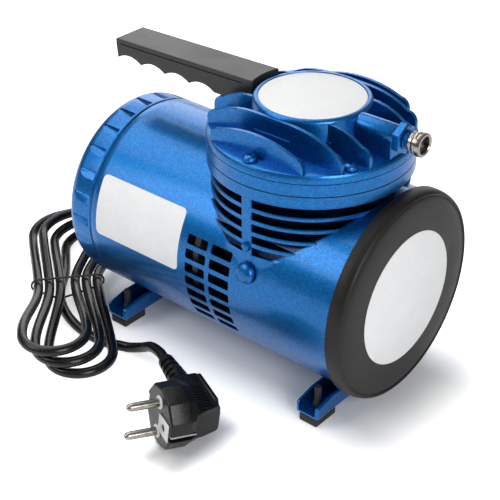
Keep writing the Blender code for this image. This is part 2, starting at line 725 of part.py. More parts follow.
# Reed valves, each lying over its port and hinged at its clamped end
exhaust_hinge = (HEAD_X + EXHAUST_PORT_OFFSET + 0.005 - EXHAUST_REED_LENGTH, 0, GASKET_Z)
exhaust_reed = block(
    (0, -EXHAUST_REED_WIDTH / 2, 0),
    (EXHAUST_REED_LENGTH, EXHAUST_REED_WIDTH / 2, REED_THICKNESS),
)
add_object("exhaust_reed", exhaust_reed, exhaust_hinge, STEEL)
intake_top = VALVE_PLATE_Z + CHAMBER_DEPTH - FIT
intake_hinge = (HEAD_X + 0.004 - INTAKE_REED_LENGTH + 0.005, INTAKE_PORT_OFFSET, intake_top)
intake_reed = block(
    (0, -INTAKE_REED_WIDTH / 2, -REED_THICKNESS), (INTAKE_REED_LENGTH, INTAKE_REED_WIDTH / 2, 0)
)
add_object("intake_reed", intake_reed, intake_hinge, STEEL)


# Head cover: flanged plate, central boss, cooling fins and outlet tube
def fin_outline(offset):
    """Side view of a fin: flat foot, rounded ends and a crown that follows a shallow dome."""
    half = math.sqrt(FIN_RADIUS ** 2 - offset ** 2)
    foot = -COVER_PLATE_THICKNESS / 2

    def crown(x):
        spread = max(math.hypot(x, offset) - BOSS_RADIUS, 0) / (FIN_RADIUS - BOSS_RADIUS)
        return FIN_CROWN - FIN_FALL * spread ** 2

    shoulder = half - FIN_CORNER
    side = [(half, foot), (half, crown(shoulder) - FIN_CORNER)]
    side += arc((shoulder, crown(shoulder) - FIN_CORNER), FIN_CORNER, 0, math.pi / 2, 4)[1:]
    side += [(shoulder * share, crown(shoulder * share)) for share in (0.75, 0.5, 0.25)]
    return side + [(0, crown(0))] + [(-x, z) for x, z in reversed(side)]


head_profile = [
    (0, BOSS_TOP),
    (BOSS_RADIUS - BOSS_EDGE, BOSS_TOP),
    (BOSS_RADIUS, BOSS_TOP - BOSS_EDGE),
    (BOSS_RADIUS, COVER_TOP),
    (FLANGE_RADIUS - COVER_PLATE_EDGE, COVER_TOP),
    (FLANGE_RADIUS, COVER_TOP - COVER_PLATE_EDGE),
    (FLANGE_RADIUS, COVER_Z),
    (DISCHARGE_RADIUS, COVER_Z),
    (DISCHARGE_RADIUS, BOSS_TOP - DISCHARGE_ROOF),
    (0, BOSS_TOP - DISCHARGE_ROOF),
]
head_cover = add_object("head_cover", turn(head_profile, "Z", FINE), head_axis, BLUE_PAINT)
fin_shapes = [
    prism(fin_outline(offset), "Y", side * offset - FIN_THICKNESS / 2, side * offset + FIN_THICKNESS / 2)
    for offset in FIN_OFFSETS
    for side in (-1, 1)
]
weld(head_cover, tool("fin_tool", gather(fin_shapes), (HEAD_X, 0, COVER_TOP)))
tube_start = (BOSS_RADIUS + DISCHARGE_RADIUS) / 2
web_low = COVER_TOP - COVER_PLATE_THICKNESS / 2 - OUTLET_Z
web_outline = [(-OUTLET_TUBE_RADIUS, web_low), (OUTLET_TUBE_RADIUS, web_low)]
web_outline += arc((0, 0), OUTLET_TUBE_RADIUS, 0, math.pi, 10)
outlet_tube = prism(web_outline, "X", tube_start, OUTLET_TUBE_END)
outlet_place = (HEAD_X, 0, OUTLET_Z)
weld(head_cover, tool("outlet_tube_tool", outlet_tube, outlet_place))
outlet_bore = rod_shape(
    OUTLET_BORE_RADIUS, DISCHARGE_RADIUS - CUT_MARGIN, OUTLET_TUBE_END + CUT_MARGIN, "X", 20
)
cut(head_cover, tool("outlet_bore_tool", outlet_bore, outlet_place))
cut(head_cover, head_screw_tool)
handle_screw_seat = COVER_Z + HANDLE_SCREW_HEAD_HEIGHT + FIT
handle_screw_end = COVER_TOP + HANDLE_SCREW_BITE
handle_hole_profile = [
    (0, handle_screw_end + FIT),
    (HANDLE_SCREW_RADIUS + FIT, handle_screw_end + FIT),
    (HANDLE_SCREW_RADIUS + FIT, handle_screw_seat),
    (HANDLE_SCREW_HEAD_RADIUS + FIT, handle_screw_seat),
    (HANDLE_SCREW_HEAD_RADIUS + FIT, COVER_Z - CUT_MARGIN),
    (0, COVER_Z - CUT_MARGIN),
]
handle_holes = [
    moved(turn(handle_hole_profile, "Z", COARSE), Matrix.Translation((HEAD_X - reach, 0, 0)))
    for reach in HANDLE_SCREW_REACHES
]
handle_hole_tool = tool("handle_hole_tool", gather(handle_holes))
cut(head_cover, handle_hole_tool)
intake_profile = [
    (0, COVER_TOP + CUT_MARGIN),
    (INTAKE_HOLE_RADIUS, COVER_TOP + CUT_MARGIN),
    (INTAKE_HOLE_RADIUS, COVER_Z + INTAKE_CHAMBER_DEPTH),
    (INTAKE_CHAMBER_RADIUS, COVER_Z + INTAKE_CHAMBER_DEPTH),
    (INTAKE_CHAMBER_RADIUS, COVER_Z - CUT_MARGIN),
    (0, COVER_Z - CUT_MARGIN),
]
intake_place = (HEAD_X, (FIN_OFFSETS[1] + FIN_OFFSETS[2]) / 2, 0)
cut(head_cover, tool("intake_tool", turn(intake_profile, "Z", 16), intake_place))

# Screws that clamp the head stack to the flange
head_screw_profile = [
    (0, COVER_TOP + FIT + HEAD_SCREW_HEAD_HEIGHT),
    (HEAD_SCREW_HEAD_RADIUS * 0.7, COVER_TOP + FIT + HEAD_SCREW_HEAD_HEIGHT * 0.8),
    (HEAD_SCREW_HEAD_RADIUS, COVER_TOP + FIT + HEAD_SCREW_HEAD_HEIGHT * 0.25),
    (HEAD_SCREW_HEAD_RADIUS, COVER_TOP + FIT),
    (HEAD_SCREW_RADIUS, COVER_TOP + FIT),
    (HEAD_SCREW_RADIUS, head_screw_low),
    (0, head_screw_low),
]
for number, (x, y, _) in enumerate(head_screw_places, 1):
    shape = turn(head_screw_profile, "Z", COARSE)
    add_object(f"head_screw_{number}", shape, (HEAD_X + x, y, 0), BLUE_PAINT)

# Outlet fitting with its hexagon, and the plated hose nipple
hex_low = OUTLET_TUBE_END + FIT
hex_high = hex_low + FITTING_HEX_LENGTH
fitting_end = hex_high + FITTING_THREAD_LENGTH
hex_radius = FITTING_HEX_FLATS / math.sqrt(3)
hexagon = [
    (hex_radius * math.sin(math.tau * i / 6), hex_radius * math.cos(math.tau * i / 6)) for i in range(6)
]
outlet_fitting = add_object(
    "outlet_fitting", prism(hexagon, "X", hex_low, hex_high), outlet_place, BLUE_PAINT
)
fitting_shank = turn(
    [
        (0, fitting_end),
        (FITTING_THREAD_RADIUS, fitting_end),
        (FITTING_THREAD_RADIUS, hex_high - FITTING_HEX_LENGTH / 2),
        (OUTLET_BORE_RADIUS - FIT, hex_high - FITTING_HEX_LENGTH / 2),
        (OUTLET_BORE_RADIUS - FIT, hex_low - FITTING_STEM_LENGTH),
        (0, hex_low - FITTING_STEM_LENGTH),
    ],
    "X", 20,
)
weld(outlet_fitting, tool("fitting_shank_tool", fitting_shank, outlet_place))
airway = rod_shape(
    AIRWAY_RADIUS, hex_low - FITTING_STEM_LENGTH - CUT_MARGIN, fitting_end + CUT_MARGIN, "X", 16
)
cut(outlet_fitting, tool("airway_tool", airway, outlet_place))
nipple_low = fitting_end + FIT
nipple_end = nipple_low + NIPPLE_LENGTH
nipple_profile = [
    (NIPPLE_BORE_RADIUS, nipple_end),
    (NIPPLE_RADIUS - 0.0008, nipple_end),
    (NIPPLE_RADIUS, nipple_end - 0.0008),
    (NIPPLE_RADIUS, nipple_end - NIPPLE_COLLAR_LENGTH),
    (NIPPLE_NECK_RADIUS, nipple_end - NIPPLE_COLLAR_LENGTH - 0.0006),
    (NIPPLE_NECK_RADIUS, nipple_low),
    (AIRWAY_RADIUS, nipple_low),
    (AIRWAY_RADIUS, nipple_end - NIPPLE_COLLAR_LENGTH),
    (NIPPLE_BORE_RADIUS, nipple_end - NIPPLE_COLLAR_LENGTH),
]
add_object("outlet_nipple", turn(nipple_profile, "X", 20), outlet_place, NICKEL)

# Carrying handle, with finger grips underneath and its root on the head cover
handle_rear = -HANDLE_REAR_REACH
grip_front = handle_rear + HANDLE_GRIP_COUNT * HANDLE_GRIP_PITCH
rear_top = BOSS_TOP - HANDLE_REAR_DROP
front_top = BOSS_TOP + HANDLE_FRONT_RISE
handle_low = rear_top - HANDLE_DEPTH
chord = HANDLE_GRIP_PITCH
grip_radius = (chord ** 2 / 4 + HANDLE_GRIP_DEPTH ** 2) / (2 * HANDLE_GRIP_DEPTH)
half_turn = math.asin(chord / 2 / grip_radius)
handle_outline = [(handle_rear - 0.001, rear_top), (handle_rear, handle_low)]
for i in range(HANDLE_GRIP_COUNT):
    middle = (
        handle_rear + (i + 0.5) * HANDLE_GRIP_PITCH, handle_low + HANDLE_GRIP_DEPTH - grip_radius
    )
    grip = arc(middle, grip_radius, math.pi / 2 + half_turn, math.pi / 2 - half_turn, 6)
    handle_outline += grip[1:]
handle_outline += [
    (-HANDLE_ROOT_REACH, handle_low),
    (-HANDLE_ROOT_REACH, COVER_TOP + FIT),
    (-BOSS_RADIUS + 0.004, COVER_TOP + FIT),
    (-BOSS_RADIUS + 0.004, front_top),
]
handle_shape = prism(handle_outline, "Y", -HANDLE_WIDTH / 2, HANDLE_WIDTH / 2)
top_edges = [
    edge for edge in handle_shape.edges
    if all(vert.co.z > handle_low + HANDLE_DEPTH / 2 for vert in edge.verts)
    and abs(edge.verts[0].co.y - edge.verts[1].co.y) < 1e-6
]
bmesh.ops.bevel(
    handle_shape, geom=top_edges, offset=HANDLE_EDGE, segments=3, profile=0.5, affect="EDGES"
)
handle = add_object("handle", handle_shape, head_axis, BLACK_PLASTIC)
boss_room = rod_shape(
    BOSS_RADIUS + HANDLE_BOSS_GAP, COVER_TOP - CUT_MARGIN, front_top + CUT_MARGIN, "Z", FINE
)
cut(handle, tool("boss_room_tool", boss_room, head_axis))
cut(handle, handle_hole_tool)
handle_screw_profile = [
    (0, handle_screw_end),
    (HANDLE_SCREW_RADIUS, handle_screw_end),
    (HANDLE_SCREW_RADIUS, handle_screw_seat - FIT),
    (HANDLE_SCREW_HEAD_RADIUS, handle_screw_seat - FIT),
    (HANDLE_SCREW_HEAD_RADIUS, COVER_Z),
    (0, COVER_Z),
]
for number, reach in enumerate(HANDLE_SCREW_REACHES, 1):
    shape = turn(handle_screw_profile, "Z", COARSE)
    add_object(f"handle_screw_{number}", shape, (HEAD_X - reach, 0, 0), STEEL)

# Foot bars: folded channels saddled to the drum, each on two rubber feet
foot_y = BAR_HALF_SPAN - 0.001 - FOOT_LENGTH / 2
drum_room = rod_shape(
    DRUM_RADIUS + FIT, REAR_X - CUT_MARGIN, FRONT_SEAM_X + CUT_MARGIN, "X", FINE
)
drum_room_tool = tool("drum_room_tool", drum_room, drum_place)
for end, bar_x in (("rear", REAR_BAR_X), ("front", FRONT_BAR_X)):
    wall_top = FOOT_HEIGHT + BAR_WALL_HEIGHT
    rise_y = BAR_HALF_SPAN - BAR_RISE_SPAN
    bar_outline = [
        (-BAR_HALF_SPAN, FOOT_HEIGHT),
        (BAR_HALF_SPAN, FOOT_HEIGHT),
        (BAR_HALF_SPAN, wall_top),
        (rise_y, wall_top + BAR_WALL_RISE),
        (-rise_y, wall_top + BAR_WALL_RISE),
        (-BAR_HALF_SPAN, wall_top),
    ]
    bar_place = (bar_x, 0, 0)
    bar = add_object(
        f"{end}_foot_bar", prism(bar_outline, "X", -BAR_WIDTH / 2, BAR_WIDTH / 2), bar_place, BLUE_PAINT
    )
    channel = block(
        (-BAR_WIDTH / 2 + BAR_SHEET, -BAR_HALF_SPAN - CUT_MARGIN, BAR_TOP),
        (BAR_WIDTH / 2 - BAR_SHEET, BAR_HALF_SPAN + CUT_MARGIN, AXIS_Z),
    )
    cut(bar, tool(f"{end}_channel_tool", channel, bar_place))
    cut(bar, drum_room_tool)
    cut(bar, bar_screw_tool)
    stem_holes = [
        moved(
            rod_shape(FOOT_STEM_RADIUS + FIT, FOOT_HEIGHT - CUT_MARGIN, BAR_TOP + CUT_MARGIN, "Z", COARSE),
            Matrix.Translation((0, side * foot_y, 0)),
        )
        for side in (-1, 1)
    ]
    cut(bar, tool(f"{end}_stem_tool", gather(stem_holes), bar_place))
    for hand, side in (("near", -1), ("far", 1)):
        place = (bar_x, side * foot_y, 0)
        pad = block(
            (-FOOT_WIDTH / 2, -FOOT_LENGTH / 2, 0),
            (FOOT_WIDTH / 2, FOOT_LENGTH / 2, FOOT_HEIGHT - FIT),
        )
        foot = add_object(f"{end}_{hand}_foot", pad, place, BLACK_RUBBER)
        stem_profile = [
            (0, BAR_TOP + FOOT_STEM_HEIGHT),
            (FOOT_STEM_RADIUS, BAR_TOP + FOOT_STEM_HEIGHT),
            (FOOT_STEM_RADIUS, BAR_TOP + FIT + FOOT_COLLAR_HEIGHT),
            (FOOT_COLLAR_RADIUS, BAR_TOP + FIT + FOOT_COLLAR_HEIGHT),
            (FOOT_COLLAR_RADIUS, BAR_TOP + FIT),
            (FOOT_STEM_RADIUS, BAR_TOP + FIT),
            (FOOT_STEM_RADIUS, FOOT_HEIGHT / 2),
            (0, FOOT_HEIGHT / 2),
        ]
        weld(foot, tool(f"{end}_{hand}_foot_stem_tool", turn(stem_profile, "Z", COARSE), place))
    screw_profile = [
        (0, bar_screw_top),
        (BAR_SCREW_RADIUS, bar_screw_top),
        (BAR_SCREW_RADIUS, FOOT_HEIGHT - FIT),
        (BAR_SCREW_HEAD_RADIUS, FOOT_HEIGHT - FIT),
        (BAR_SCREW_HEAD_RADIUS, FOOT_HEIGHT - FIT - BAR_SCREW_HEAD_HEIGHT),
        (0, FOOT_HEIGHT - FIT - BAR_SCREW_HEAD_HEIGHT),
    ]
    add_object(f"{end}_bar_screw", turn(screw_profile, "Z", COARSE), bar_place, STEEL)

# Bearings and the bracket that carries the middle one
shaft_hole = SHAFT_RADIUS + FIT
bearing = ring_shape(shaft_hole, BEARING_RADIUS, 0, BEARING_WIDTH, "X", 24)
add_object("rear_bearing", bearing, (REAR_BEARING_X, 0, AXIS_Z), STEEL)
bracket_hub = pocket_radius + BEARING_POCKET_WALL
bracket_profile = [
    (shaft_hole + 0.002, 0),
    (SEAT_RADIUS, 0),
    (SEAT_RADIUS, BRACKET_THICKNESS),
    (bracket_hub, BRACKET_THICKNESS),
    (bracket_hub, BRACKET_THICKNESS + FIT + BEARING_WIDTH),
    (pocket_radius, BRACKET_THICKNESS + FIT + BEARING_WIDTH),
    (pocket_radius, BRACKET_THICKNESS),
    (shaft_hole + 0.002, BRACKET_THICKNESS),
]
bracket_place = (BRACKET_X, 0, AXIS_Z)
bearing_bracket = add_object(
    "bearing_bracket", turn(bracket_profile, "X", MEDIUM), bracket_place, ALUMINIUM
)
windows = [
    moved(
        rod_shape(BRACKET_WINDOW_RADIUS, -CUT_MARGIN, BRACKET_THICKNESS + CUT_MARGIN, "X", COARSE),
        Matrix.Translation((0, y, z)),
    )
    for y, z, _ in circle_places(BRACKET_WINDOW_CIRCLE, 4)
]
cut(bearing_bracket, tool("bracket_window_tool", gather(windows), bracket_place))
bearing = ring_shape(shaft_hole, BEARING_RADIUS, 0, BEARING_WIDTH, "X", 24)
middle_bearing_place = (BRACKET_X + BRACKET_THICKNESS + FIT, 0, AXIS_Z)
add_object("middle_bearing", bearing, middle_bearing_place, STEEL)

# Stator with its corners on the drum bore, and the two winding ends
stator_place = (STATOR_X, 0, AXIS_Z)
stator_outline = []
for quarter in range(4):
    middle = math.pi / 4 + quarter * math.pi / 2
    spread = math.pi / 4 - STATOR_FLAT_ANGLE
    stator_outline += arc((0, 0), SEAT_RADIUS, middle - spread, middle + spread, 4)
stator_core = add_object(
    "stator_core", prism(stator_outline, "X", 0, STATOR_LENGTH), stator_place, LAMINATION
)
stator_bore = ROTOR_RADIUS + AIR_GAP
bore_shape = rod_shape(stator_bore, -CUT_MARGIN, STATOR_LENGTH + CUT_MARGIN, "X", MEDIUM)
cut(stator_core, tool("stator_bore_tool", bore_shape, stator_place))
winding_profile = [
    (stator_bore + 0.001, 0),
    (stator_bore + 0.001, WINDING_LENGTH * 0.75),
    (stator_bore + 0.004, WINDING_LENGTH),
    (WINDING_OUTER_RADIUS - 0.003, WINDING_LENGTH),
    (WINDING_OUTER_RADIUS, WINDING_LENGTH * 0.7),
    (WINDING_OUTER_RADIUS, 0),
]
front_winding = turn(winding_profile, "X", MEDIUM)
add_object("front_winding", front_winding, (STATOR_X + STATOR_LENGTH + FIT, 0, AXIS_Z), COPPER)
rear_winding = moved(turn(winding_profile, "X", MEDIUM), Matrix.Rotation(math.pi, 4, "Z"))
add_object("rear_winding", rear_winding, (STATOR_X - FIT, 0, AXIS_Z), COPPER)

# Everything that turns with the shaft
shaft_low = REAR_BEARING_X + FIT
shaft_high = FAN_X + FAN_DEPTH + SHAFT_FAN_REACH
shaft_shape = rod_shape(SHAFT_RADIUS, shaft_low, shaft_high, "X", 20)
add_object("motor_shaft", shaft_shape, drum_place, STEEL)
rotor_shape = ring_shape(shaft_hole, ROTOR_RADIUS, 0, STATOR_LENGTH, "X", MEDIUM)
add_object("rotor_core", rotor_shape, stator_place, LAMINATION)
eccentric_place = (HEAD_X, 0, AXIS_Z)
eccentric_low = -ECCENTRIC_LENGTH / 2
eccentric_shape = moved(
    rod_shape(ECCENTRIC_RADIUS, eccentric_low, -eccentric_low, "X", MEDIUM),
    Matrix.Translation((0, 0, -CRANK_OFFSET)),
)
eccentric = add_object("eccentric", eccentric_shape, eccentric_place, STEEL)
weight_outline = arc((0, 0), COUNTERWEIGHT_RADIUS, 0, math.pi, 12)
weight_outline += [
    (-SHAFT_RADIUS - 0.004, -SHAFT_RADIUS - 0.003),
    (SHAFT_RADIUS + 0.004, -SHAFT_RADIUS - 0.003),
]
counterweight = prism(
    weight_outline, "X", -eccentric_low - 0.001, -eccentric_low + COUNTERWEIGHT_LENGTH
)
weld(eccentric, tool("counterweight_tool", counterweight, eccentric_place))
shaft_room = rod_shape(
    shaft_hole, eccentric_low - CUT_MARGIN, -eccentric_low + COUNTERWEIGHT_LENGTH + CUT_MARGIN, "X", 20
)
cut(eccentric, tool("shaft_room_tool", shaft_room, eccentric_place))


def fan_shape():
    """Hub with tilted flat blades let into it."""
    blades = []
    for _, _, angle in circle_places(1.0, FAN_BLADES):
        blade = block(
            (-FAN_DEPTH * 0.42, -BLADE_THICKNESS / 2, FAN_HUB_RADIUS - 0.0015),
            (FAN_DEPTH * 0.42, BLADE_THICKNESS / 2, FAN_RADIUS),
        )
        moved(blade, Matrix.Rotation(BLADE_TILT, 4, "Z"))
        blades.append(moved(blade, Matrix.Rotation(angle, 4, "X")))
    return gather(blades)


fan_place = (FAN_X + FAN_DEPTH / 2, 0, AXIS_Z)
hub_shape = ring_shape(shaft_hole, FAN_HUB_RADIUS, -FAN_DEPTH / 2, FAN_DEPTH / 2, "X", MEDIUM)
cooling_fan = add_object("cooling_fan", hub_shape, fan_place, FAN_PLASTIC)
weld(cooling_fan, tool("fan_blade_tool", fan_shape(), fan_place))

# Connecting rod on the eccentric, with the plate that carries the diaphragm
crank_pin = (HEAD_X, 0, AXIS_Z - CRANK_OFFSET)
rod_bearing = ring_shape(
    ECCENTRIC_RADIUS + FIT, ROD_BEARING_RADIUS, -ROD_WIDTH / 2, ROD_WIDTH / 2, "X", MEDIUM
)
add_object("rod_bearing", rod_bearing, crank_pin, STEEL)
rod_plate_top = DIAPHRAGM_Z - CRANK_OFFSET - FIT - crank_pin[2]
rod_ring = ROD_BEARING_RADIUS + FIT + ROD_RING_WALL
connecting_rod = add_object(
    "connecting_rod",
    ring_shape(ROD_BEARING_RADIUS + FIT, rod_ring, -ROD_WIDTH / 2, ROD_WIDTH / 2, "X", MEDIUM),
    crank_pin, ALUMINIUM,
)
rod_shank = block(
    (-ROD_WIDTH * 0.45, -ROD_SHANK_WIDTH / 2, rod_ring - ROD_RING_WALL / 2),
    (ROD_WIDTH * 0.45, ROD_SHANK_WIDTH / 2, rod_plate_top - ROD_PLATE_THICKNESS / 2),
)
weld(connecting_rod, tool("rod_shank_tool", rod_shank, crank_pin))
boss_low = rod_plate_top - ROD_SCREW_BITE - 0.003
rod_plate = turn(
    [
        (0, rod_plate_top),
        (ROD_PLATE_RADIUS, rod_plate_top),
        (ROD_PLATE_RADIUS, rod_plate_top - ROD_PLATE_THICKNESS),
        (0.008, rod_plate_top - ROD_PLATE_THICKNESS - 0.002),
        (0.007, boss_low),
        (0, boss_low),
    ],
    "Z", MEDIUM,
)
weld(connecting_rod, tool("rod_plate_tool", rod_plate, crank_pin))
screw_room = rod_shape(
    RETAINER_SCREW_RADIUS + FIT,
    rod_plate_top - ROD_SCREW_BITE - FIT,
    rod_plate_top + CUT_MARGIN,
    "Z",
    COARSE,
)
cut(connecting_rod, tool("rod_screw_tool", screw_room, crank_pin))
retainer_low = DIAPHRAGM_Z + DIAPHRAGM_THICKNESS - CRANK_OFFSET + FIT
retainer_top = retainer_low + RETAINER_THICKNESS
head_recess = retainer_top - RETAINER_SCREW_HEAD_HEIGHT - FIT
retainer_profile = [
    (RETAINER_SCREW_HEAD_RADIUS + FIT, retainer_top),
    (RETAINER_RADIUS, retainer_top),
    (RETAINER_RADIUS, retainer_low),
    (RETAINER_SCREW_RADIUS + FIT, retainer_low),
    (RETAINER_SCREW_RADIUS + FIT, head_recess),
    (RETAINER_SCREW_HEAD_RADIUS + FIT, head_recess),
]
add_object("diaphragm_retainer", turn(retainer_profile, "Z", MEDIUM), head_axis, ALUMINIUM)
retainer_screw_low = crank_pin[2] + rod_plate_top - ROD_SCREW_BITE
retainer_screw_profile = [
    (0, retainer_top),
    (RETAINER_SCREW_HEAD_RADIUS, retainer_top),
    (RETAINER_SCREW_HEAD_RADIUS, head_recess + FIT),
    (RETAINER_SCREW_RADIUS, head_recess + FIT),
    (RETAINER_SCREW_RADIUS, retainer_screw_low),
    (0, retainer_screw_low),
]
add_object("retainer_screw", turn(retainer_screw_profile, "Z", COARSE), head_axis, STEEL)

# Cord gland in the rear cover
gland_profile = [
    (0, REAR_COVER_WALL),
    (GLAND_STEM_RADIUS, REAR_COVER_WALL),
    (GLAND_STEM_RADIUS, -FIT),
    (GLAND_FLANGE_RADIUS, -FIT),
    (GLAND_FLANGE_RADIUS, -FIT - GLAND_FLANGE_LENGTH),
    (GLAND_STEM_RADIUS + 0.0012, -FIT - GLAND_FLANGE_LENGTH - 0.001),
    (GLAND_TIP_RADIUS, -GLAND_LENGTH),
    (0, -GLAND_LENGTH),
]
add_object("cable_gland", turn(gland_profile, "X", 16), gland_place, BLACK_RUBBER)

# Hank: one cord laid in long loops, each beside the last and under it at both folds
along = Vector((math.cos(HANK_ANGLE), math.sin(HANK_ANGLE), 0))
across = Vector((-math.sin(HANK_ANGLE), math.cos(HANK_ANGLE), 0))
hank_fold = HANK_FAR_WIDTH - HANK_STEP / 2


def ease(t):
    t = min(max(t, 0.0), 1.0)
    return t * t * (3 - 2 * t)


def laid(u, v, layer):
    """Place along and across the hank, some layers up, lifted a little where the tie passes under."""
    lift = HANK_LIFT * (1 - ease(abs(u) / HANK_FAR))
    z = CORD_RADIUS + FIT + layer * HANK_LAYER + lift
    return HANK_CENTRE + along * u + across * v + Vector((0, 0, z))


def loop_middle(loop):
    return HANK_FIRST + HANK_STEP * loop


def run_point(loop, hand, u):
    """Place on one run of a loop: all runs lie side by side at the tie and climb to their own layer."""
    outside = loop == 0 and hand < 0 and u < 0
    share = ease(u / (HANK_NEAR + HANK_NEAR_STEP * loop))
    width, shift = HANK_NEAR_WIDTH, HANK_NEAR_SHIFT
    if u < 0:
        share = ease(-u / (HANK_FAR + (HANK_OUTSIDE if outside else 0)))
        width, shift = HANK_FAR_WIDTH, HANK_FAR_SHIFT
    climb = 0 if outside else HANK_LOOPS - loop - 1
    v = loop_middle(loop) + hand * (HANK_WAIST + (width - HANK_WAIST) * share) + shift * share
    return laid(u, v, 1 + climb * share)


hank_points = []
for i in range(3):
    turn_angle = math.radians(180 + 30 * i)
    hank_points.append(
        laid(
            -HANK_FAR - HANK_OUTSIDE + hank_fold * math.cos(turn_angle),
            HANK_FIRST - HANK_FAR_WIDTH + HANK_FAR_SHIFT + hank_fold * (1 + math.sin(turn_angle)),
            HANK_LEAD_LAYER - (HANK_LEAD_LAYER - 1) * i / 3,
        )
    )
for loop in range(HANK_LOOPS):
    near = HANK_NEAR + HANK_NEAR_STEP * loop
    far = HANK_FAR + (HANK_OUTSIDE if loop == 0 else 0)
    layer = HANK_LOOPS - loop
    hank_points += [run_point(loop, -1, -far * (3 - i) / 3) for i in range(3)]
    hank_points += [run_point(loop, -1, near * i / 3) for i in range(3)]
    for i in range(6):
        turn_angle = math.radians(-90 + 30 * i)
        u = near + HANK_NEAR_WIDTH * math.cos(turn_angle)
        v = loop_middle(loop) + HANK_NEAR_SHIFT + HANK_NEAR_WIDTH * math.sin(turn_angle)
        hank_points.append(laid(u, v, layer))
    hank_points += [run_point(loop, 1, near * (3 - i) / 3) for i in range(3)]
    hank_points += [run_point(loop, 1, -HANK_FAR * i / 3) for i in range(3)]
    for i in range(6):
        turn_angle = math.radians(90 + 30 * i)
        u = -HANK_FAR + hank_fold * math.cos(turn_angle)
        v = loop_middle(loop) + HANK_STEP / 2 + HANK_FAR_SHIFT + hank_fold * math.sin(turn_angle)
        hank_points.append(laid(u, v, layer - ease((i / 6 - 0.05) / 0.9)))
last_start = laid(-HANK_FAR, loop_middle(HANK_LOOPS) - HANK_FAR_WIDTH + HANK_FAR_SHIFT, 0)
lead_in = (-across - AXES["Z"] * 0.16).normalized()
lead_out = along * math.cos(math.radians(TAIL_LEAN)) + across * math.sin(math.radians(TAIL_LEAN))
last_run = [last_start - along * CORD_DIAMETER, last_start] + [laid(u, v, 0) for u, v in TAIL_PLAN]
hank_points += smooth_route(last_run + [last_run[-1] + lead_out * CORD_DIAMETER * 2], 2)[1:-1]
hank_points = (
    [hank_points[0] - lead_in * CORD_DIAMETER] + hank_points + [hank_points[-1] + lead_out * CORD_DIAMETER]
)


def least_gap(points, radius):
    """Smallest space between turns, read from closely spaced points along the centre line."""
    fine = smooth_route(points, 6)
    run = [0.0]
    for before, after in zip(fine, fine[1:]):
        run.append(run[-1] + (after - before).length)
    least = math.inf
    for i in range(0, len(fine), 2):
        for j in range(i + 1, len(fine)):
            if run[j] - run[i] > 8 * radius:
                least = min(least, (fine[i] - fine[j]).length)
    return least - 2 * radius


print(f"least gap between turns of the hank: {1000 * least_gap(hank_points, CORD_RADIUS):.2f} mm")
tube("cord_hank", hank_points, CORD_RADIUS, 1, CORD_PVC)

# Lead from the gland to the hank
lead_start = Vector(gland_place) - AXES["X"] * (GLAND_LENGTH + FIT)
lead_end = hank_points[0] - lead_in * FIT
lead_points = smooth_route(
    [
        lead_start, lead_start - AXES["X"] * CORD_DIAMETER, *LEAD_ROUTE,
        lead_end - lead_in * CORD_DIAMETER, lead_end,
    ],
    2,
)
tube("cord_lead", lead_points, CORD_RADIUS, 2, CORD_PVC)

# Wire tie pulled close round the outer strands of the hank and the one under them
tie_reach = CORD_RADIUS + TIE_ROOM + TIE_RADIUS
tie_strands = []
for v, layer in (
    (loop_middle(0) - HANK_WAIST, 1),
    (TAIL_PLAN[1][1], 0),
    (loop_middle(HANK_LOOPS - 1) + HANK_WAIST, 1),
):
    tie_strands.append((v, laid(0, v, layer).z))
tie_angles = [math.pi / 2]
for start, end in zip(tie_strands, tie_strands[1:]):
    tie_angles.append(math.atan2(start[0] - end[0], end[1] - start[1]) % (2 * math.pi))
tie_angles.append(math.radians(450))
tie_points = []
for centre, start, end in zip(tie_strands, tie_angles, tie_angles[1:]):
    for v, z in arc(centre, tie_reach, start, end, 5):
        tie_points.append(HANK_CENTRE + across * v + AXES["Z"] * z)
tube("cord_tie", tie_points, TIE_RADIUS, 1, BLACK_RUBBER, cyclic=True)

# Two-pin earthed plug, lying with its pins one above the other
pin_axis = Vector((
    math.cos(PLUG_HEADING) * math.cos(PLUG_TILT),
    math.sin(PLUG_HEADING) * math.cos(PLUG_TILT),
    math.sin(PLUG_TILT),
))
cable_axis = Vector((math.sin(PLUG_HEADING), -math.cos(PLUG_HEADING), 0))
pair_axis = cable_axis.cross(pin_axis)
plug_frame = Matrix((pin_axis, cable_axis, pair_axis)).transposed().to_4x4()


def plug_shape():
    """Round face, deep rim and a back that narrows towards the cord's neck."""
    shape = bmesh.new()
    rings = ((0, PLUG_RADIUS - 0.001), (-0.001, PLUG_RADIUS), (-PLUG_RIM_DEPTH, PLUG_RADIUS))
    for depth, radius in rings:
        for y, z, _ in circle_places(radius, MEDIUM):
            shape.verts.new((depth, y, z))
    for y in (-PLUG_BACK_WIDTH / 2, PLUG_BACK_WIDTH / 2):
        for z in (-PLUG_BACK_HEIGHT / 2, PLUG_BACK_HEIGHT / 2):
            shape.verts.new((-PLUG_DEPTH, y, z))
    for x, z, _ in circle_places(PLUG_NECK_RADIUS, 12):
        shape.verts.new((-PLUG_NECK_DEPTH + x, PLUG_NECK_REACH, z))
    hull = bmesh.ops.convex_hull(shape, input=shape.verts)
    spare = [part for part in hull["geom_interior"] if isinstance(part, bmesh.types.BMVert)]
    bmesh.ops.delete(shape, geom=spare, context="VERTS")
    return moved(shape, plug_frame)


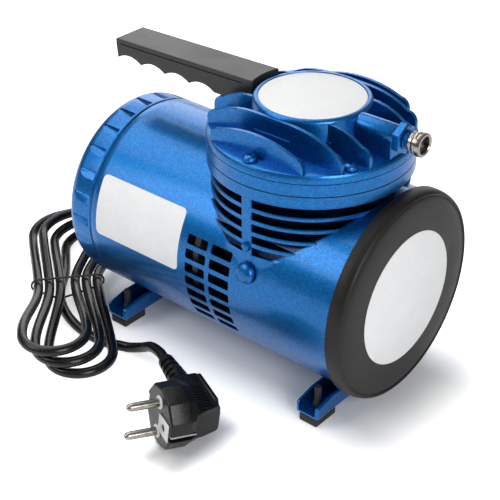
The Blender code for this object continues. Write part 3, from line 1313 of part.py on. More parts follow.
plug = plug_shape()
plug_rise = FIT - min(vert.co.z for vert in plug.verts)
plug_place = Vector((PLUG_FACE.x, PLUG_FACE.y, plug_rise))
add_object("plug_body", plug, plug_place, PLUG_PVC)
pin_profile = [
    (0, FIT + PIN_LENGTH),
    (PIN_RADIUS * 0.6, FIT + PIN_LENGTH - 0.0004),
    (PIN_RADIUS, FIT + PIN_LENGTH - 0.002),
    (PIN_RADIUS, FIT),
    (0, FIT),
]
for name, side in (("upper_plug_pin", 1), ("lower_plug_pin", -1)):
    pin = turn(pin_profile, "X", 16)
    moved(pin, plug_frame @ Matrix.Translation((0, 0, side * PIN_SPACING / 2)))
    add_object(name, pin, plug_place, NICKEL)

# Ribbed sleeve between the plug and the cord
sleeve_low = PLUG_NECK_REACH + FIT
sleeve_profile = [(0, sleeve_low)]
rib_pitch = SLEEVE_LENGTH / SLEEVE_RIBS
for i in range(SLEEVE_RIBS):
    share = i / SLEEVE_RIBS
    outer = SLEEVE_RADIUS + (SLEEVE_TIP_RADIUS - SLEEVE_RADIUS) * share
    start = sleeve_low + i * rib_pitch
    sleeve_profile += [(outer, start), (outer, start + rib_pitch * 0.6)]
    sleeve_profile += [
        (outer - SLEEVE_GROOVE, start + rib_pitch * 0.65), (outer - SLEEVE_GROOVE, start + rib_pitch * 0.95)
    ]
sleeve_end = sleeve_low + SLEEVE_LENGTH
sleeve_profile += [(SLEEVE_TIP_RADIUS - SLEEVE_GROOVE, sleeve_end), (0, sleeve_end)]
sleeve = turn(sleeve_profile[::-1], "X", COARSE)
neck_turn = Matrix.Rotation(math.pi / 2, 4, "Z")
neck_frame = plug_frame @ Matrix.Translation((-PLUG_NECK_DEPTH, 0, 0)) @ neck_turn
add_object("plug_sleeve", moved(sleeve, neck_frame), plug_place, PLUG_PVC)

# Tail from the hank to the sleeve
tail_start = hank_points[-1] + lead_out * FIT
tail_end = plug_place + plug_frame @ Vector((-PLUG_NECK_DEPTH, sleeve_end + FIT, 0))
tail_points = smooth_route(
    [
        tail_start, tail_start + lead_out * CORD_DIAMETER, *TAIL_ROUTE,
        tail_end + cable_axis * CORD_DIAMETER, tail_end,
    ],
    2,
)
tube("cord_tail", tail_points, CORD_RADIUS, 2, CORD_PVC)
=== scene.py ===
"""Looks of a small oil-free air compressor with its mains lead, in the order it is put together."""

import math

import bpy
from mathutils import Matrix, Vector


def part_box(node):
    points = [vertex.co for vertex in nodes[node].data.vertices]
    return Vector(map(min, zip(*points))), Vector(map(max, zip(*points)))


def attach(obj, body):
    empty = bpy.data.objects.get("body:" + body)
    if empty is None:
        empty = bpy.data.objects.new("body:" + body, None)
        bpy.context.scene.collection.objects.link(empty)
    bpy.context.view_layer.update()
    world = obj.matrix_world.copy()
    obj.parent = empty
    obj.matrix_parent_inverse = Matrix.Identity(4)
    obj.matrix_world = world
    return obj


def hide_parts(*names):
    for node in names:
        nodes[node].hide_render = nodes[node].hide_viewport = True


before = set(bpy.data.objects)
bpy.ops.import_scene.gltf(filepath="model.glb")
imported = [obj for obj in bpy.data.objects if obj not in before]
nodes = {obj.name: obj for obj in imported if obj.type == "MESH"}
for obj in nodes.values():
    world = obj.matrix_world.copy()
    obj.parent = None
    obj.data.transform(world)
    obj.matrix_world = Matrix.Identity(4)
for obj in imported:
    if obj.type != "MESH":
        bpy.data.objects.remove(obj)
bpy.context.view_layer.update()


# Studio: a white paper floor under a large overhead soft box, with a strong one before the front
# cover, a weaker one on the plug's side, and one low behind that only shows as gloss. It is seen
# through a long lens from above the plug's side.
view_turn = math.radians(40.28)
view_lift = math.radians(32.01)
view_target = Vector((-0.0099, 0.0, 0.05547))
view_distance = 0.7836
view_back = Vector((
    math.sin(view_turn) * math.cos(view_lift),
    -math.cos(view_turn) * math.cos(view_lift),
    math.sin(view_lift),
))
bpy.ops.object.camera_add(location=view_target + view_back * view_distance)
camera = bpy.context.object
camera.name = "camera"
camera.rotation_euler = view_back.to_track_quat("Z", "Y").to_euler()
camera.data.lens = 93.76
camera.data.sensor_width = 36
bpy.context.scene.camera = camera
bpy.context.scene.view_settings.view_transform = "Standard"


def soft_box(name, place, aim, size, power):
    """Rectangular lamp that faces a point."""
    bpy.ops.object.light_add(type="AREA", location=place)
    lamp = bpy.context.object
    lamp.name = name
    lamp.rotation_euler = (Vector(place) - Vector(aim)).to_track_quat("Z", "Y").to_euler()
    lamp.data.shape = "RECTANGLE"
    lamp.data.size, lamp.data.size_y = size
    lamp.data.energy = power
    return lamp


soft_box("overhead_box", (-0.60, 0.05, 1.15), (0, 0, 0.08), (1.2, 0.9), 7.6)
soft_box("front_box", (1.30, -0.60, 0.80), (0, 0, 0.08), (0.7, 0.7), 13.0)
soft_box("side_box", (-0.72, -1.02, 0.94), (0, 0, 0.06), (0.7, 0.7), 6.2)
back_box = soft_box("back_box", (-0.85, 1.05, 0.58), (0, 0, 0.10), (1.3, 0.8), 7.0)
back_box.visible_diffuse = False

bpy.ops.object.select_all(action="DESELECT")
bpy.ops.mesh.primitive_grid_add(x_subdivisions=4, y_subdivisions=4, size=8, location=(0, 0, -0.0004))
floor = bpy.context.object
floor.name = "floor"
bpy.ops.object.transform_apply(location=True)


def wired(tree, kind, sockets, **settings):
    """Node with its own settings, and its sockets set to values or joined to other nodes."""
    node = tree.nodes.new("ShaderNode" + kind)
    for name, setting in settings.items():
        setattr(node, name, setting)
    for name, source in sockets.items():
        if isinstance(source, bpy.types.NodeSocket):
            tree.links.new(source, node.inputs[name])
        else:
            node.inputs[name].default_value = source
    return node


paper = bpy.data.materials.new("studio_paper")
paper.use_nodes = True
paper_tree = paper.node_tree
paper_shader = paper_tree.nodes["Principled BSDF"]
paper_shader.inputs["Base Color"].default_value = (0.93, 0.935, 0.945, 1)
paper_shader.inputs["Roughness"].default_value = 0.6
paper_shader.inputs["Specular IOR Level"].default_value = 0.25
mirrored_share = 0.5
paper_rays = wired(paper_tree, "LightPath", {}).outputs
paper_through = wired(
    paper_tree, "Math", {0: paper_rays["Is Glossy Ray"], 1: paper_rays["Is Transmission Ray"]},
    operation="MAXIMUM",
)
paper_seen = wired(
    paper_tree, "Math", {0: paper_through.outputs[0], 1: mirrored_share, 2: paper_rays["Is Camera Ray"]},
    operation="MULTIPLY_ADD",
)
paper_place = wired(paper_tree, "TexCoord", {}).outputs["Object"]


def glow_round_painted_shadow(middle, half, reach, level):
    """Glow of the paper around a rectangle: none inside it, which leaves a painted shadow there, and full
    beyond its reach.
    """
    away = paper_place
    for operation, amount in (
        ("SUBTRACT", middle), ("ABSOLUTE", None), ("SUBTRACT", half), ("MAXIMUM", (0, 0, 0)),
        ("LENGTH", None),
    ):
        sockets = {0: away, 1: amount} if amount else {0: away}
        step = wired(paper_tree, "VectorMath", sockets, operation=operation)
        away = step.outputs["Value" if operation == "LENGTH" else "Vector"]
    levels = {"Value": away, "From Min": 0.0, "From Max": reach, "To Min": 0.0, "To Max": level}
    return wired(paper_tree, "MapRange", levels, interpolation_type="SMOOTHSTEP").outputs["Result"]


# Painted shadow: the paper glows less under the machine and beside the plug. The floor there is darker than
# the lamps alone make it, and the real shadows also show in these zones.
machine_shadow_glow = glow_round_painted_shadow((0, 0, 0), (0.10, 0.03, 0), 0.05, 0.80)
plug_shadow_glow = glow_round_painted_shadow((0.036, -0.106, 0), (0.006, 0.020, 0), 0.018, 1.0)
painted_shadow_glow = wired(paper_tree, "Math", {0: machine_shadow_glow, 1: plug_shadow_glow}, operation="MULTIPLY")
paper_share = wired(
    paper_tree, "Math", {0: paper_seen.outputs[0], 1: painted_shadow_glow.outputs[0]}, operation="MULTIPLY"
)
paper_glow = wired(paper_tree, "Emission", {"Strength": paper_share.outputs[0]})
paper_sum = wired(paper_tree, "AddShader", {0: paper_shader.outputs[0], 1: paper_glow.outputs[0]})
paper_tree.links.new(paper_sum.outputs[0], paper_tree.nodes["Material Output"].inputs["Surface"])
floor.data.materials.append(paper)

studio = bpy.data.worlds.new("studio")
studio.use_nodes = True
bpy.context.scene.world = studio
studio_tree = studio.node_tree
studio_air = studio_tree.nodes["Background"]
studio_way = wired(studio_tree, "TexCoord", {}).outputs["Generated"]
studio_height = wired(studio_tree, "SeparateXYZ", {0: studio_way}).outputs["Z"]
studio_fade = wired(
    studio_tree, "MapRange",
    {"Value": studio_height, "From Min": 0.0, "From Max": 0.7, "To Min": 0.06, "To Max": 0.27},
)
mirrored_air = 0.05
studio_rays = wired(studio_tree, "LightPath", {}).outputs
studio_through = wired(
    studio_tree, "Math", {0: studio_rays["Is Camera Ray"], 1: studio_rays["Is Transmission Ray"]},
    operation="MAXIMUM",
)
studio_seen = wired(
    studio_tree, "Math", {0: studio_rays["Is Glossy Ray"], 1: mirrored_air, 2: studio_through.outputs[0]},
    operation="MULTIPLY_ADD", use_clamp=True,
)
studio_level = wired(
    studio_tree, "Mix", {"Factor": studio_seen.outputs[0], "A": studio_fade.outputs["Result"], "B": 1.0}
)
studio_tree.links.new(studio_level.outputs["Result"], studio_air.inputs["Strength"])
studio_air.inputs["Color"].default_value = (1, 1, 1, 1)


# Mains lead: one round cord in black PVC from the rear cover to the plug, folded by hand into a
# hank of three long loops that pile up at both ends and draw in to one layer under the tie.
cord_thickness = 0.0062
cord_gap = 0.0003
gland_place = Vector((-0.106825, 0.024, 0.036))
gland_length = 0.025
hank_centre = Vector((-0.1188, -0.054, 0.0))
hank_angle = math.radians(-40)
hank_loops = 3
far_reach = 0.054
near_reach = 0.070
near_step = 0.0025
outside_reach = 0.008
waist_half = 0.0116
far_width = 0.0228
near_width = 0.019
far_shift = 0.0095
near_shift = -0.0035
first_loop = -0.0053
loop_step = 0.0070
far_fold = far_width - loop_step / 2
layer_height = 0.0070
waist_lift = 0.0019
lead_layer = 1.7
tail_plan = (
    (-0.025, 0.0008), (0.0, -0.0036), (0.018, -0.0022), (0.034, 0.0035), (0.047, 0.0120), (0.0575, 0.0230),
)
tail_lean = math.radians(61)
lead_route = [Vector((-0.1520, 0.0226, 0.0309)), Vector((-0.1627, 0.0178, 0.0214))]
tail_route = [Vector((-0.0385, -0.0672, 0.0070)), Vector((-0.0280, -0.0688, 0.0133))]
run_steps = 12
fold_steps = 20
route_steps = 8
along = Vector((math.cos(hank_angle), math.sin(hank_angle), 0))
across = Vector((-math.sin(hank_angle), math.cos(hank_angle), 0))
lead_in = (-across - Vector((0, 0, 0.16))).normalized()
lead_out = along * math.cos(tail_lean) + across * math.sin(tail_lean)


def ease(t):
    t = min(max(t, 0.0), 1.0)
    return t * t * (3 - 2 * t)


def laid(u, v, layer):
    """Place along and across the hank, some layers up, lifted a little where the tie passes under."""
    lift = waist_lift * (1 - ease(abs(u) / far_reach))
    z = cord_thickness / 2 + cord_gap + layer * layer_height + lift
    return hank_centre + along * u + across * v + Vector((0, 0, z))


def loop_middle(loop):
    return first_loop + loop_step * loop


def run_point(loop, hand, u):
    """Place on one run of a loop: all runs lie side by side at the tie and climb to their own layer."""
    outside = loop == 0 and hand < 0 and u < 0
    share = ease(u / (near_reach + near_step * loop))
    width, shift = near_width, near_shift
    if u < 0:
        share = ease(-u / (far_reach + (outside_reach if outside else 0)))
        width, shift = far_width, far_shift
    climb = 0 if outside else hank_loops - loop - 1
    v = loop_middle(loop) + hand * (waist_half + (width - waist_half) * share) + shift * share
    return laid(u, v, 1 + climb * share)


def smooth_route(points, steps):
    """Points of a curve through every point of a route, with its first and last runs straight."""
    result = [points[0]]
    for before, start, end, after in zip(points, points[1:], points[2:], points[3:]):
        for i in range(steps):
            t = i / steps
            result.append(
                0.5 * (
                    2 * start + (end - before) * t
                    + (2 * before - 5 * start + 4 * end - after) * t ** 2
                    + (3 * start - before - 3 * end + after) * t ** 3
                )
            )
    return result + [points[-2], points[-1]]


def node_middle(name):
    low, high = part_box(name)
    return (Vector(low) + Vector(high)) / 2


plug_heading = math.radians(245)
plug_tilt = math.radians(7)
pin_length = 0.019
neck_depth = 0.0235
sleeve_start = 0.0238
sleeve_end = 0.0498
pin_axis = Vector((
    math.cos(plug_heading) * math.cos(plug_tilt),
    math.sin(plug_heading) * math.cos(plug_tilt),
    math.sin(plug_tilt),
))
cable_axis = Vector((math.sin(plug_heading), -math.cos(plug_heading), 0))
plug_frame = Matrix((pin_axis, cable_axis, cable_axis.cross(pin_axis))).transposed().to_4x4()
pins_middle = (node_middle("upper_plug_pin") + node_middle("lower_plug_pin")) / 2
plug_frame.translation = pins_middle - pin_axis * (cord_gap + pin_length / 2)
lead_start = gland_place - Vector((gland_length + cord_gap, 0, 0))
tail_end = plug_frame @ Vector((-neck_depth, sleeve_end + cord_gap, 0))

hank_points = []
for i in range(fold_steps // 2):
    bend = math.radians(180 + 180 * i / fold_steps)
    hank_points.append(
        laid(
            -far_reach - outside_reach + far_fold * math.cos(bend),
            first_loop - far_width + far_shift + far_fold * (1 + math.sin(bend)),
            lead_layer - (lead_layer - 1) * 2 * i / fold_steps,
        )
    )
for loop in range(hank_loops):
    near = near_reach + near_step * loop
    far = far_reach + (outside_reach if loop == 0 else 0)
    layer = hank_loops - loop
    hank_points += [run_point(loop, -1, -far * (1 - i / run_steps)) for i in range(run_steps)]
    hank_points += [run_point(loop, -1, near * i / run_steps) for i in range(run_steps)]
    for i in range(fold_steps):
        bend = math.radians(-90 + 180 * i / fold_steps)
        v = loop_middle(loop) + near_shift + near_width * math.sin(bend)
        hank_points.append(laid(near + near_width * math.cos(bend), v, layer))
    hank_points += [run_point(loop, 1, near * (1 - i / run_steps)) for i in range(run_steps)]
    hank_points += [run_point(loop, 1, -far_reach * i / run_steps) for i in range(run_steps)]
    for i in range(fold_steps):
        bend = math.radians(90 + 180 * i / fold_steps)
        v = loop_middle(loop) + loop_step / 2 + far_shift + far_fold * math.sin(bend)
        drop = ease((i / fold_steps - 0.05) / 0.9)
        hank_points.append(laid(-far_reach + far_fold * math.cos(bend), v, layer - drop))
last_start = laid(-far_reach, loop_middle(hank_loops) - far_width + far_shift, 0)
last_run = [last_start - along * cord_thickness, last_start]
last_run += [laid(u, v, 0) for u, v in tail_plan]
last_run.append(last_run[-1] + lead_out * cord_thickness * 2)
hank_points += smooth_route(last_run, route_steps)[1:-1]
lead_points = [lead_start, lead_start - Vector((cord_thickness, 0, 0)), *lead_route]
lead_points += [hank_points[0] - lead_in * cord_thickness * i for i in (2, 1)]
tail_points = [hank_points[-1] + lead_out * cord_thickness * i for i in (1, 2)]
tail_points += [*tail_route, tail_end + cable_axis * cord_thickness, tail_end]
cord_points = smooth_route(lead_points, route_steps) + hank_points
cord_points += smooth_route(tail_points, route_steps)


def strung(name, points, radius, resolution):
    """Round cord along a row of points, as a curve."""
    curve = bpy.data.curves.new(name, "CURVE")
    curve.dimensions = "3D"
    curve.bevel_depth = radius
    curve.bevel_resolution = resolution
    spline = curve.splines.new("POLY")
    spline.points.add(len(points) - 1)
    for spot, point in zip(spline.points, points):
        spot.co = (*point, 1)
    cord = bpy.data.objects.new(name, curve)
    bpy.context.scene.collection.objects.link(cord)
    return cord


mains_lead = strung("mains_lead", cord_points, cord_thickness / 2, 5)
mains_lead.data.use_fill_caps = True


def shared_group(name, takes, gives):
    """Empty node group with named sockets, what it is given, and its node of results."""
    group = bpy.data.node_groups.new(name, "ShaderNodeTree")
    for side, sockets in (("INPUT", takes), ("OUTPUT", gives)):
        for socket, kind in sockets.items():
            group.interface.new_socket(socket, in_out=side, socket_type="NodeSocket" + kind)
    return group, group.nodes.new("NodeGroupInput").outputs, group.nodes.new("NodeGroupOutput").inputs


surface_results = {"Colour": "Color", "Roughness": "Float", "Height": "Float"}


def grain_group():
    """Fine cloudy grain shared by plastics and rubbers: a colour, a gloss and a height."""
    group, given, result = shared_group(
        "fine_grain",
        {"Dark": "Color", "Light": "Color", "Scale": "Float", "Glossy": "Float", "Matt": "Float"},
        surface_results,
    )
    place = wired(group, "TexCoord", {}).outputs["Object"]
    fine = wired(group, "TexNoise", {"Vector": place, "Scale": given["Scale"], "Detail": 3}).outputs["Fac"]
    broad = wired(group, "TexNoise", {"Vector": place, "Scale": 55, "Detail": 2}).outputs["Fac"]
    blend = wired(group, "Math", {0: fine, 1: broad}, operation="ADD").outputs[0]
    spread = wired(group, "MapRange", {"Value": blend, "From Min": 0.75, "From Max": 1.25}).outputs["Result"]
    tones = {"Factor": spread, "A": given["Dark"], "B": given["Light"]}
    gloss = {"Factor": spread, "A": given["Glossy"], "B": given["Matt"]}
    group.links.new(wired(group, "Mix", tones, data_type="RGBA").outputs["Result"], result["Colour"])
    group.links.new(wired(group, "Mix", gloss).outputs["Result"], result["Roughness"])
    group.links.new(fine, result["Height"])
    return group


def surfaced(name, group, given, distance, strength, own):
    """Material whose colour, gloss and relief come from a shared group."""
    look = bpy.data.materials.new(name)
    look.use_nodes = True
    tree = look.node_tree
    shader = tree.nodes["Principled BSDF"]
    surface = wired(tree, "Group", given, node_tree=group).outputs
    relief = wired(tree, "Bump", {"Distance": distance, "Strength": strength, "Height": surface["Height"]})
    tree.links.new(surface["Colour"], shader.inputs["Base Color"])
    tree.links.new(surface["Roughness"], shader.inputs["Roughness"])
    tree.links.new(relief.outputs["Normal"], shader.inputs["Normal"])
    for socket, value in own.items():
        shader.inputs[socket].default_value = value
    return look


fine_grain = grain_group()


def grained(name, dark, light, scale, glossy, matt, bump=0.1, metallic=0.0, shine=0.5):
    """Material with the shared grain; bump is in millimetres."""
    given = {"Dark": (*dark, 1), "Light": (*light, 1), "Scale": scale, "Glossy": glossy, "Matt": matt}
    own = {"Metallic": metallic, "Specular IOR Level": shine}
    return surfaced(name, fine_grain, given, bump / 1000, 0.6, own)


cord_pvc = grained(
    "cord_pvc", (0.003, 0.003, 0.003), (0.006, 0.006, 0.006), 700, 0.20, 0.30, 0.03, shine=0.36
)
mains_lead.data.materials.append(cord_pvc)
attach(mains_lead, "housing")
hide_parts("cord_lead", "cord_hank", "cord_tail")


# Tie: a thin plastic-covered wire bent once round the waist of the hank and pulled close to the
# outer strands and the one under them.
def pick(piece):
    """Select one piece alone."""
    bpy.ops.object.select_all(action="DESELECT")
    piece.select_set(True)
    bpy.context.view_layer.objects.active = piece


tie_radius = 0.0007
tie_reach = cord_thickness / 2 + 0.0005 + tie_radius
tie_strands = []
for v, layer in (
    (loop_middle(0) - waist_half, 1), (tail_plan[1][1], 0), (loop_middle(hank_loops - 1) + waist_half, 1),
):
    tie_strands.append((v, laid(0, v, layer).z))
tie_angles = [math.pi / 2]
for start, end in zip(tie_strands, tie_strands[1:]):
    tie_angles.append(math.atan2(start[0] - end[0], end[1] - start[1]) % (2 * math.pi))
tie_angles.append(math.radians(450))
tie_points = []
for (v, z), start, end in zip(tie_strands, tie_angles, tie_angles[1:]):
    for i in range(11):
        bend = start + (end - start) * i / 10
        tie_v = v + tie_reach * math.cos(bend)
        tie_z = z + tie_reach * math.sin(bend)
        tie_points.append(hank_centre + across * tie_v + Vector((0, 0, tie_z)))
lead_tie = strung("lead_tie", tie_points, tie_radius, 3)
lead_tie.data.splines[0].use_cyclic_u = True
pick(lead_tie)
bpy.ops.object.convert(target="MESH")
black_rubber = grained("black_rubber", (0.010, 0.010, 0.010), (0.022, 0.022, 0.022), 900, 0.55, 0.75, 0.05)
lead_tie.data.materials.append(black_rubber)
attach(lead_tie, "housing")
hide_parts("cord_tie")


# Plug: a moulded two-pin plug with side earth clips, its back drawn into a flat ribbed grip.
# The cord leaves it sideways through a ribbed sleeve moulded on in the same soft plastic.
smooth_angle = math.radians(32)
speck = 2e-6


def opened(action):
    """Open the active mesh with all of it selected, or none."""
    bpy.ops.object.mode_set(mode="EDIT")
    bpy.ops.mesh.select_all(action=action)


def closed(piece):
    """Close a mesh and shade it, with its sharp edges kept."""
    bpy.ops.object.mode_set(mode="OBJECT")
    bpy.ops.object.shade_smooth_by_angle(angle=smooth_angle)
    return piece


def turned(name, profile, axis, sides, centre=(0, 0, 0), ring=False):
    """Draw a circle out along an axis through (radius, along) pairs; a ring joins its two ends."""
    way = {"X": Vector((1, 0, 0)), "Y": Vector((0, 1, 0)), "Z": Vector((0, 0, 1))}[axis]
    centre = Vector(centre)
    radius, along_axis = profile[0]
    bpy.ops.object.select_all(action="DESELECT")
    bpy.ops.mesh.primitive_circle_add(
        vertices=sides, radius=radius, location=centre + way * along_axis,
        rotation=way.to_track_quat("Z", "Y").to_euler(),
    )
    piece = bpy.context.object
    piece.name = name
    bpy.ops.object.transform_apply(location=True, rotation=True, scale=True)
    opened("SELECT")
    for next_radius, next_along in profile[1:]:
        bpy.ops.mesh.extrude_region_move(
            TRANSFORM_OT_translate={"value": tuple(way * (next_along - along_axis))}
        )
        growth = next_radius / radius
        bpy.ops.transform.resize(
            value=(growth, growth, growth), center_override=tuple(centre + way * next_along)
        )
        radius, along_axis = next_radius, next_along
    bpy.ops.mesh.select_all(action="DESELECT")
    bpy.ops.mesh.select_non_manifold()
    if ring:
        bpy.ops.mesh.bridge_edge_loops()
    else:
        bpy.ops.mesh.fill_holes(sides=0)
    bpy.ops.mesh.select_all(action="SELECT")
    bpy.ops.mesh.normals_make_consistent(inside=False)
    return closed(piece)


def block(name, low, high):
    """Cube stretched between two corners."""
    low, high = Vector(low), Vector(high)
    bpy.ops.object.select_all(action="DESELECT")
    bpy.ops.mesh.primitive_cube_add(size=1, location=(low + high) / 2)
    piece = bpy.context.object
    piece.name = name
    piece.scale = high - low
    bpy.ops.object.transform_apply(location=True, rotation=True, scale=True)
    return piece


def cleaned(piece):
    """Merge the specks that rounding and fitting leave in a mesh, and close its pinholes."""
    opened("SELECT")
    bpy.ops.mesh.remove_doubles(threshold=speck)
    bpy.ops.mesh.dissolve_degenerate(threshold=speck)
    bpy.ops.mesh.select_all(action="DESELECT")
    bpy.ops.mesh.select_non_manifold(
        use_wire=False, use_multi_face=False, use_non_contiguous=False, use_verts=False
    )
    bpy.ops.mesh.fill_holes(sides=0)
    return closed(piece)


def eased(piece, width, segments=3, limit=35):
    """Round the sharp edges of a piece."""
    pick(piece)
    rounding = piece.modifiers.new("rounding", "BEVEL")
    rounding.width = width
    rounding.segments = segments
    rounding.limit_method = "ANGLE"
    rounding.angle_limit = math.radians(limit)
    bpy.ops.object.modifier_apply(modifier=rounding.name)
    return cleaned(piece)


def fitted(piece, other, operation):
    """Cut another piece out of this one, or join it on, and use it up."""
    pick(piece)
    step = piece.modifiers.new("fit", "BOOLEAN")
    step.operation = operation
    step.object = other
    step.solver = "EXACT"
    bpy.ops.object.modifier_apply(modifier=step.name)
    bpy.data.objects.remove(other)
    return cleaned(piece)


def bored(piece, radius, start, end, axis, sides, centre):
    """Cut a round hole along an axis, from start to end."""
    return fitted(piece, turned("bore", [(radius, start), (radius, end)], axis, sides, centre), "DIFFERENCE")


def raised(base, rings):
    """Rings whose places along the axis are counted from a base."""
    return [(radius, base + along_axis) for radius, along_axis in rings]


def gathered(pieces):
    """Several separate pieces as one."""
    bpy.ops.object.select_all(action="DESELECT")
    for piece in pieces:
        piece.select_set(True)
    bpy.context.view_layer.objects.active = pieces[0]
    bpy.ops.object.join()
    return pieces[0]


def placed(piece, matrix):
    """Move a finished piece to its place and keep that place in its mesh."""
    pick(piece)
    piece.matrix_world = matrix
    bpy.ops.object.transform_apply(location=True, rotation=True, scale=True)
    if matrix.determinant() < 0:
        piece.data.flip_normals()
    return piece


def copied(piece, name, matrix):
    """Another of a finished piece, with its own mesh, put in its place."""
    other = piece.copy()
    other.data = piece.data.copy()
    other.name = name
    bpy.context.scene.collection.objects.link(other)
    return placed(other, matrix)


plug_radius = 0.0185
plug_sides = 10
plug_body = turned(
    "plug_moulding",
    [
        (0.0172, 0.0), (0.0182, -0.0004), (plug_radius, -0.0012), (plug_radius, -0.0120), (0.0172, -0.0150),
        (0.0146, -0.0235), (0.0126, -0.0300), (0.0110, -0.0318),
    ],
    "X", plug_sides,
)
eased(plug_body, 0.0009, 3, 20)
grip = eased(block("grip", (-0.0316, -0.0150, -0.0084), (-0.0140, sleeve_start - 0.0003, 0.0084)), 0.0022, 4)
fitted(plug_body, grip, "UNION")
grip_slope = block("grip_slope", (-0.0300, -0.0200, -0.0300), (0.0, 0.0, 0.0300))
placed(grip_slope, Matrix.Translation((-0.0150, -0.0152, 0)) @ Matrix.Rotation(math.radians(-17), 4, "Z"))
fitted(plug_body, grip_slope, "DIFFERENCE")
grip_flat = block("grip_flat", (-0.0400, -0.0220, 0.0092), (-0.0172, 0.0220, 0.0220))
fitted(plug_body, eased(grip_flat, 0.0008, 2), "DIFFERENCE")
grip_lip = eased(block("grip_lip", (-0.0318, -0.0072, 0.0060), (-0.0284, 0.0190, 0.0105)), 0.0012, 3)
fitted(plug_body, grip_lip, "UNION")
strip_cut = block("strip_cut", (-0.0156, -0.0200, -0.0054), (0.002, -0.0153, -0.0018))
notch_cut = block("notch_cut", (-0.0132, 0.0150, -0.0045), (0.002, 0.0200, 0.0045))
fitted(plug_body, gathered([strip_cut, notch_cut]), "DIFFERENCE")
rib_pitch = 0.0022
grip_cuts = [
    block("grip_cut", (-0.0272, -0.0124 + i * rib_pitch, 0.0082), (-0.0184, -0.0112 + i * rib_pitch, 0.0100))
    for i in range(11)
]
fitted(plug_body, gathered(grip_cuts), "DIFFERENCE")
placed(plug_body, plug_frame)
plug_pvc = grained(
    "plug_pvc", (0.004, 0.0038, 0.0036), (0.009, 0.0086, 0.008), 1500, 0.26, 0.42, 0.08, shine=0.3
)
plug_body.data.materials.append(plug_pvc)

sleeve_axis = (-neck_depth, 0, 0)
plug_sleeve = turned(
    "sleeve_moulding",
    [
        (0.0066, sleeve_start - 0.0006), (0.0066, sleeve_start + 0.0008), (0.0063, sleeve_start + 0.0016),
        (0.0046, sleeve_end - 0.0012), (0.0042, sleeve_end - 0.0003), (0.0034, sleeve_end),
    ],
    "Y", 40, sleeve_axis,
)
sleeve_slots = []
for i in range(4):
    middle = sleeve_start + 0.0050 + i * 0.0050
    radius = 0.0063 - 0.0017 * (middle - sleeve_start) / (sleeve_end - sleeve_start)
    inside, outside = radius - 0.0012, radius + 0.002
    slot_rings = raised(middle, [(inside, -0.0010), (outside, -0.0010), (outside, 0.0010), (inside, 0.0010)])
    slot_ring = turned("slot_ring", slot_rings, "Y", 40, sleeve_axis, ring=True)
    band_low = (-neck_depth - 0.01, middle - 0.002, -0.0036)
    band_high = (-neck_depth + 0.01, middle + 0.002, 0.0054)
    sleeve_slots.append(fitted(slot_ring, block("band", band_low, band_high), "INTERSECT"))
fitted(plug_sleeve, gathered(sleeve_slots), "DIFFERENCE")
placed(plug_sleeve, plug_frame)
plug_sleeve.data.materials.append(plug_pvc)

nickel = grained("nickel", (0.27, 0.25, 0.22), (0.40, 0.375, 0.34), 500, 0.18, 0.30, 0.01, metallic=1.0)
white_insulator = grained("white_insulator", (0.70, 0.70, 0.68), (0.82, 0.82, 0.80), 800, 0.35, 0.5, 0.03)
pin = turned(
    "pin",
    [
        (0.0024, cord_gap), (0.0024, 0.0158), (0.0022, 0.0174), (0.0017, 0.0186), (0.0010, 0.0192),
        (0.0003, 0.0193),
    ],
    "X", 28,
)
pin.data.materials.append(nickel)
collar = turned(
    "collar",
    [(0.00245, 0.0001), (0.0039, 0.0001), (0.0039, 0.0006), (0.0035, 0.0010), (0.00245, 0.0010)],
    "X", 28, ring=True,
)
collar.data.materials.append(white_insulator)
plug_pins = []
plug_whites = []
for hand, side in (("upper", 1), ("lower", -1)):
    pin_place = plug_frame @ Matrix.Translation((0, 0, side * 0.0095))
    plug_pins.append(copied(pin, f"plug_pin_{hand}", pin_place))
    plug_whites.append(copied(collar, f"pin_collar_{hand}", pin_place))
    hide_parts(f"{hand}_plug_pin")
bpy.data.objects.remove(pin)
bpy.data.objects.remove(collar)
earth_insert = eased(block("earth_insert", (0.0001, -0.0147, -0.0071), (0.0008, -0.0017, 0.0039)), 0.0002, 2)
bored(earth_insert, 0.0022, -0.002, 0.003, "X", 24, (0, -0.0082, -0.0016))
earth_insert.data.materials.append(white_insulator)
plug_whites.append(placed(earth_insert, plug_frame))
earth_clips = []
for name, low, high in (
    ("earth_strip_near", (-0.0152, -0.0175, -0.0030), (-0.0003, -0.0150, -0.0019)),
    ("earth_strip_far", (-0.0128, 0.0148, -0.0024), (-0.0006, 0.0156, 0.0024)),
):
    clip = eased(block(name, low, high), 0.0002, 2)
    clip.data.materials.append(nickel)
    earth_clips.append(placed(clip, plug_frame))
for pieces, slot in (
    ((plug_body, plug_sleeve, *plug_whites), "plug_pvc"),
    ((*plug_pins, *earth_clips), "nickel"),
):
    for piece in pieces:
        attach(piece, "housing")
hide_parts("plug_body")
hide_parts("plug_sleeve")


# Gland: a rubber cord guard pushed into the rear cover, with four ribs that grow smaller as it
# tapers off along the lead.
gland_rings = [(0.0050, 0.0049), (0.0051, 0.0002), (0.0078, -0.0003), (0.0078, -0.0024), (0.0070, -0.0029)]
for i in range(4):
    rib = 0.0066 - 0.0005 * i
    gland_rings += raised(
        -0.0036 - i * 0.0045, [(rib, 0), (rib, -0.0024), (rib - 0.0010, -0.0029), (rib - 0.0010, -0.0040)]
    )
gland_rings += [(0.0046, -0.0232), (0.0040, -gland_length)]
cord_guard = turned("cord_guard", gland_rings, "X", 32, gland_place)
cord_guard.data.materials.append(black_rubber)
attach(cord_guard, "housing")
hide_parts("cable_gland")


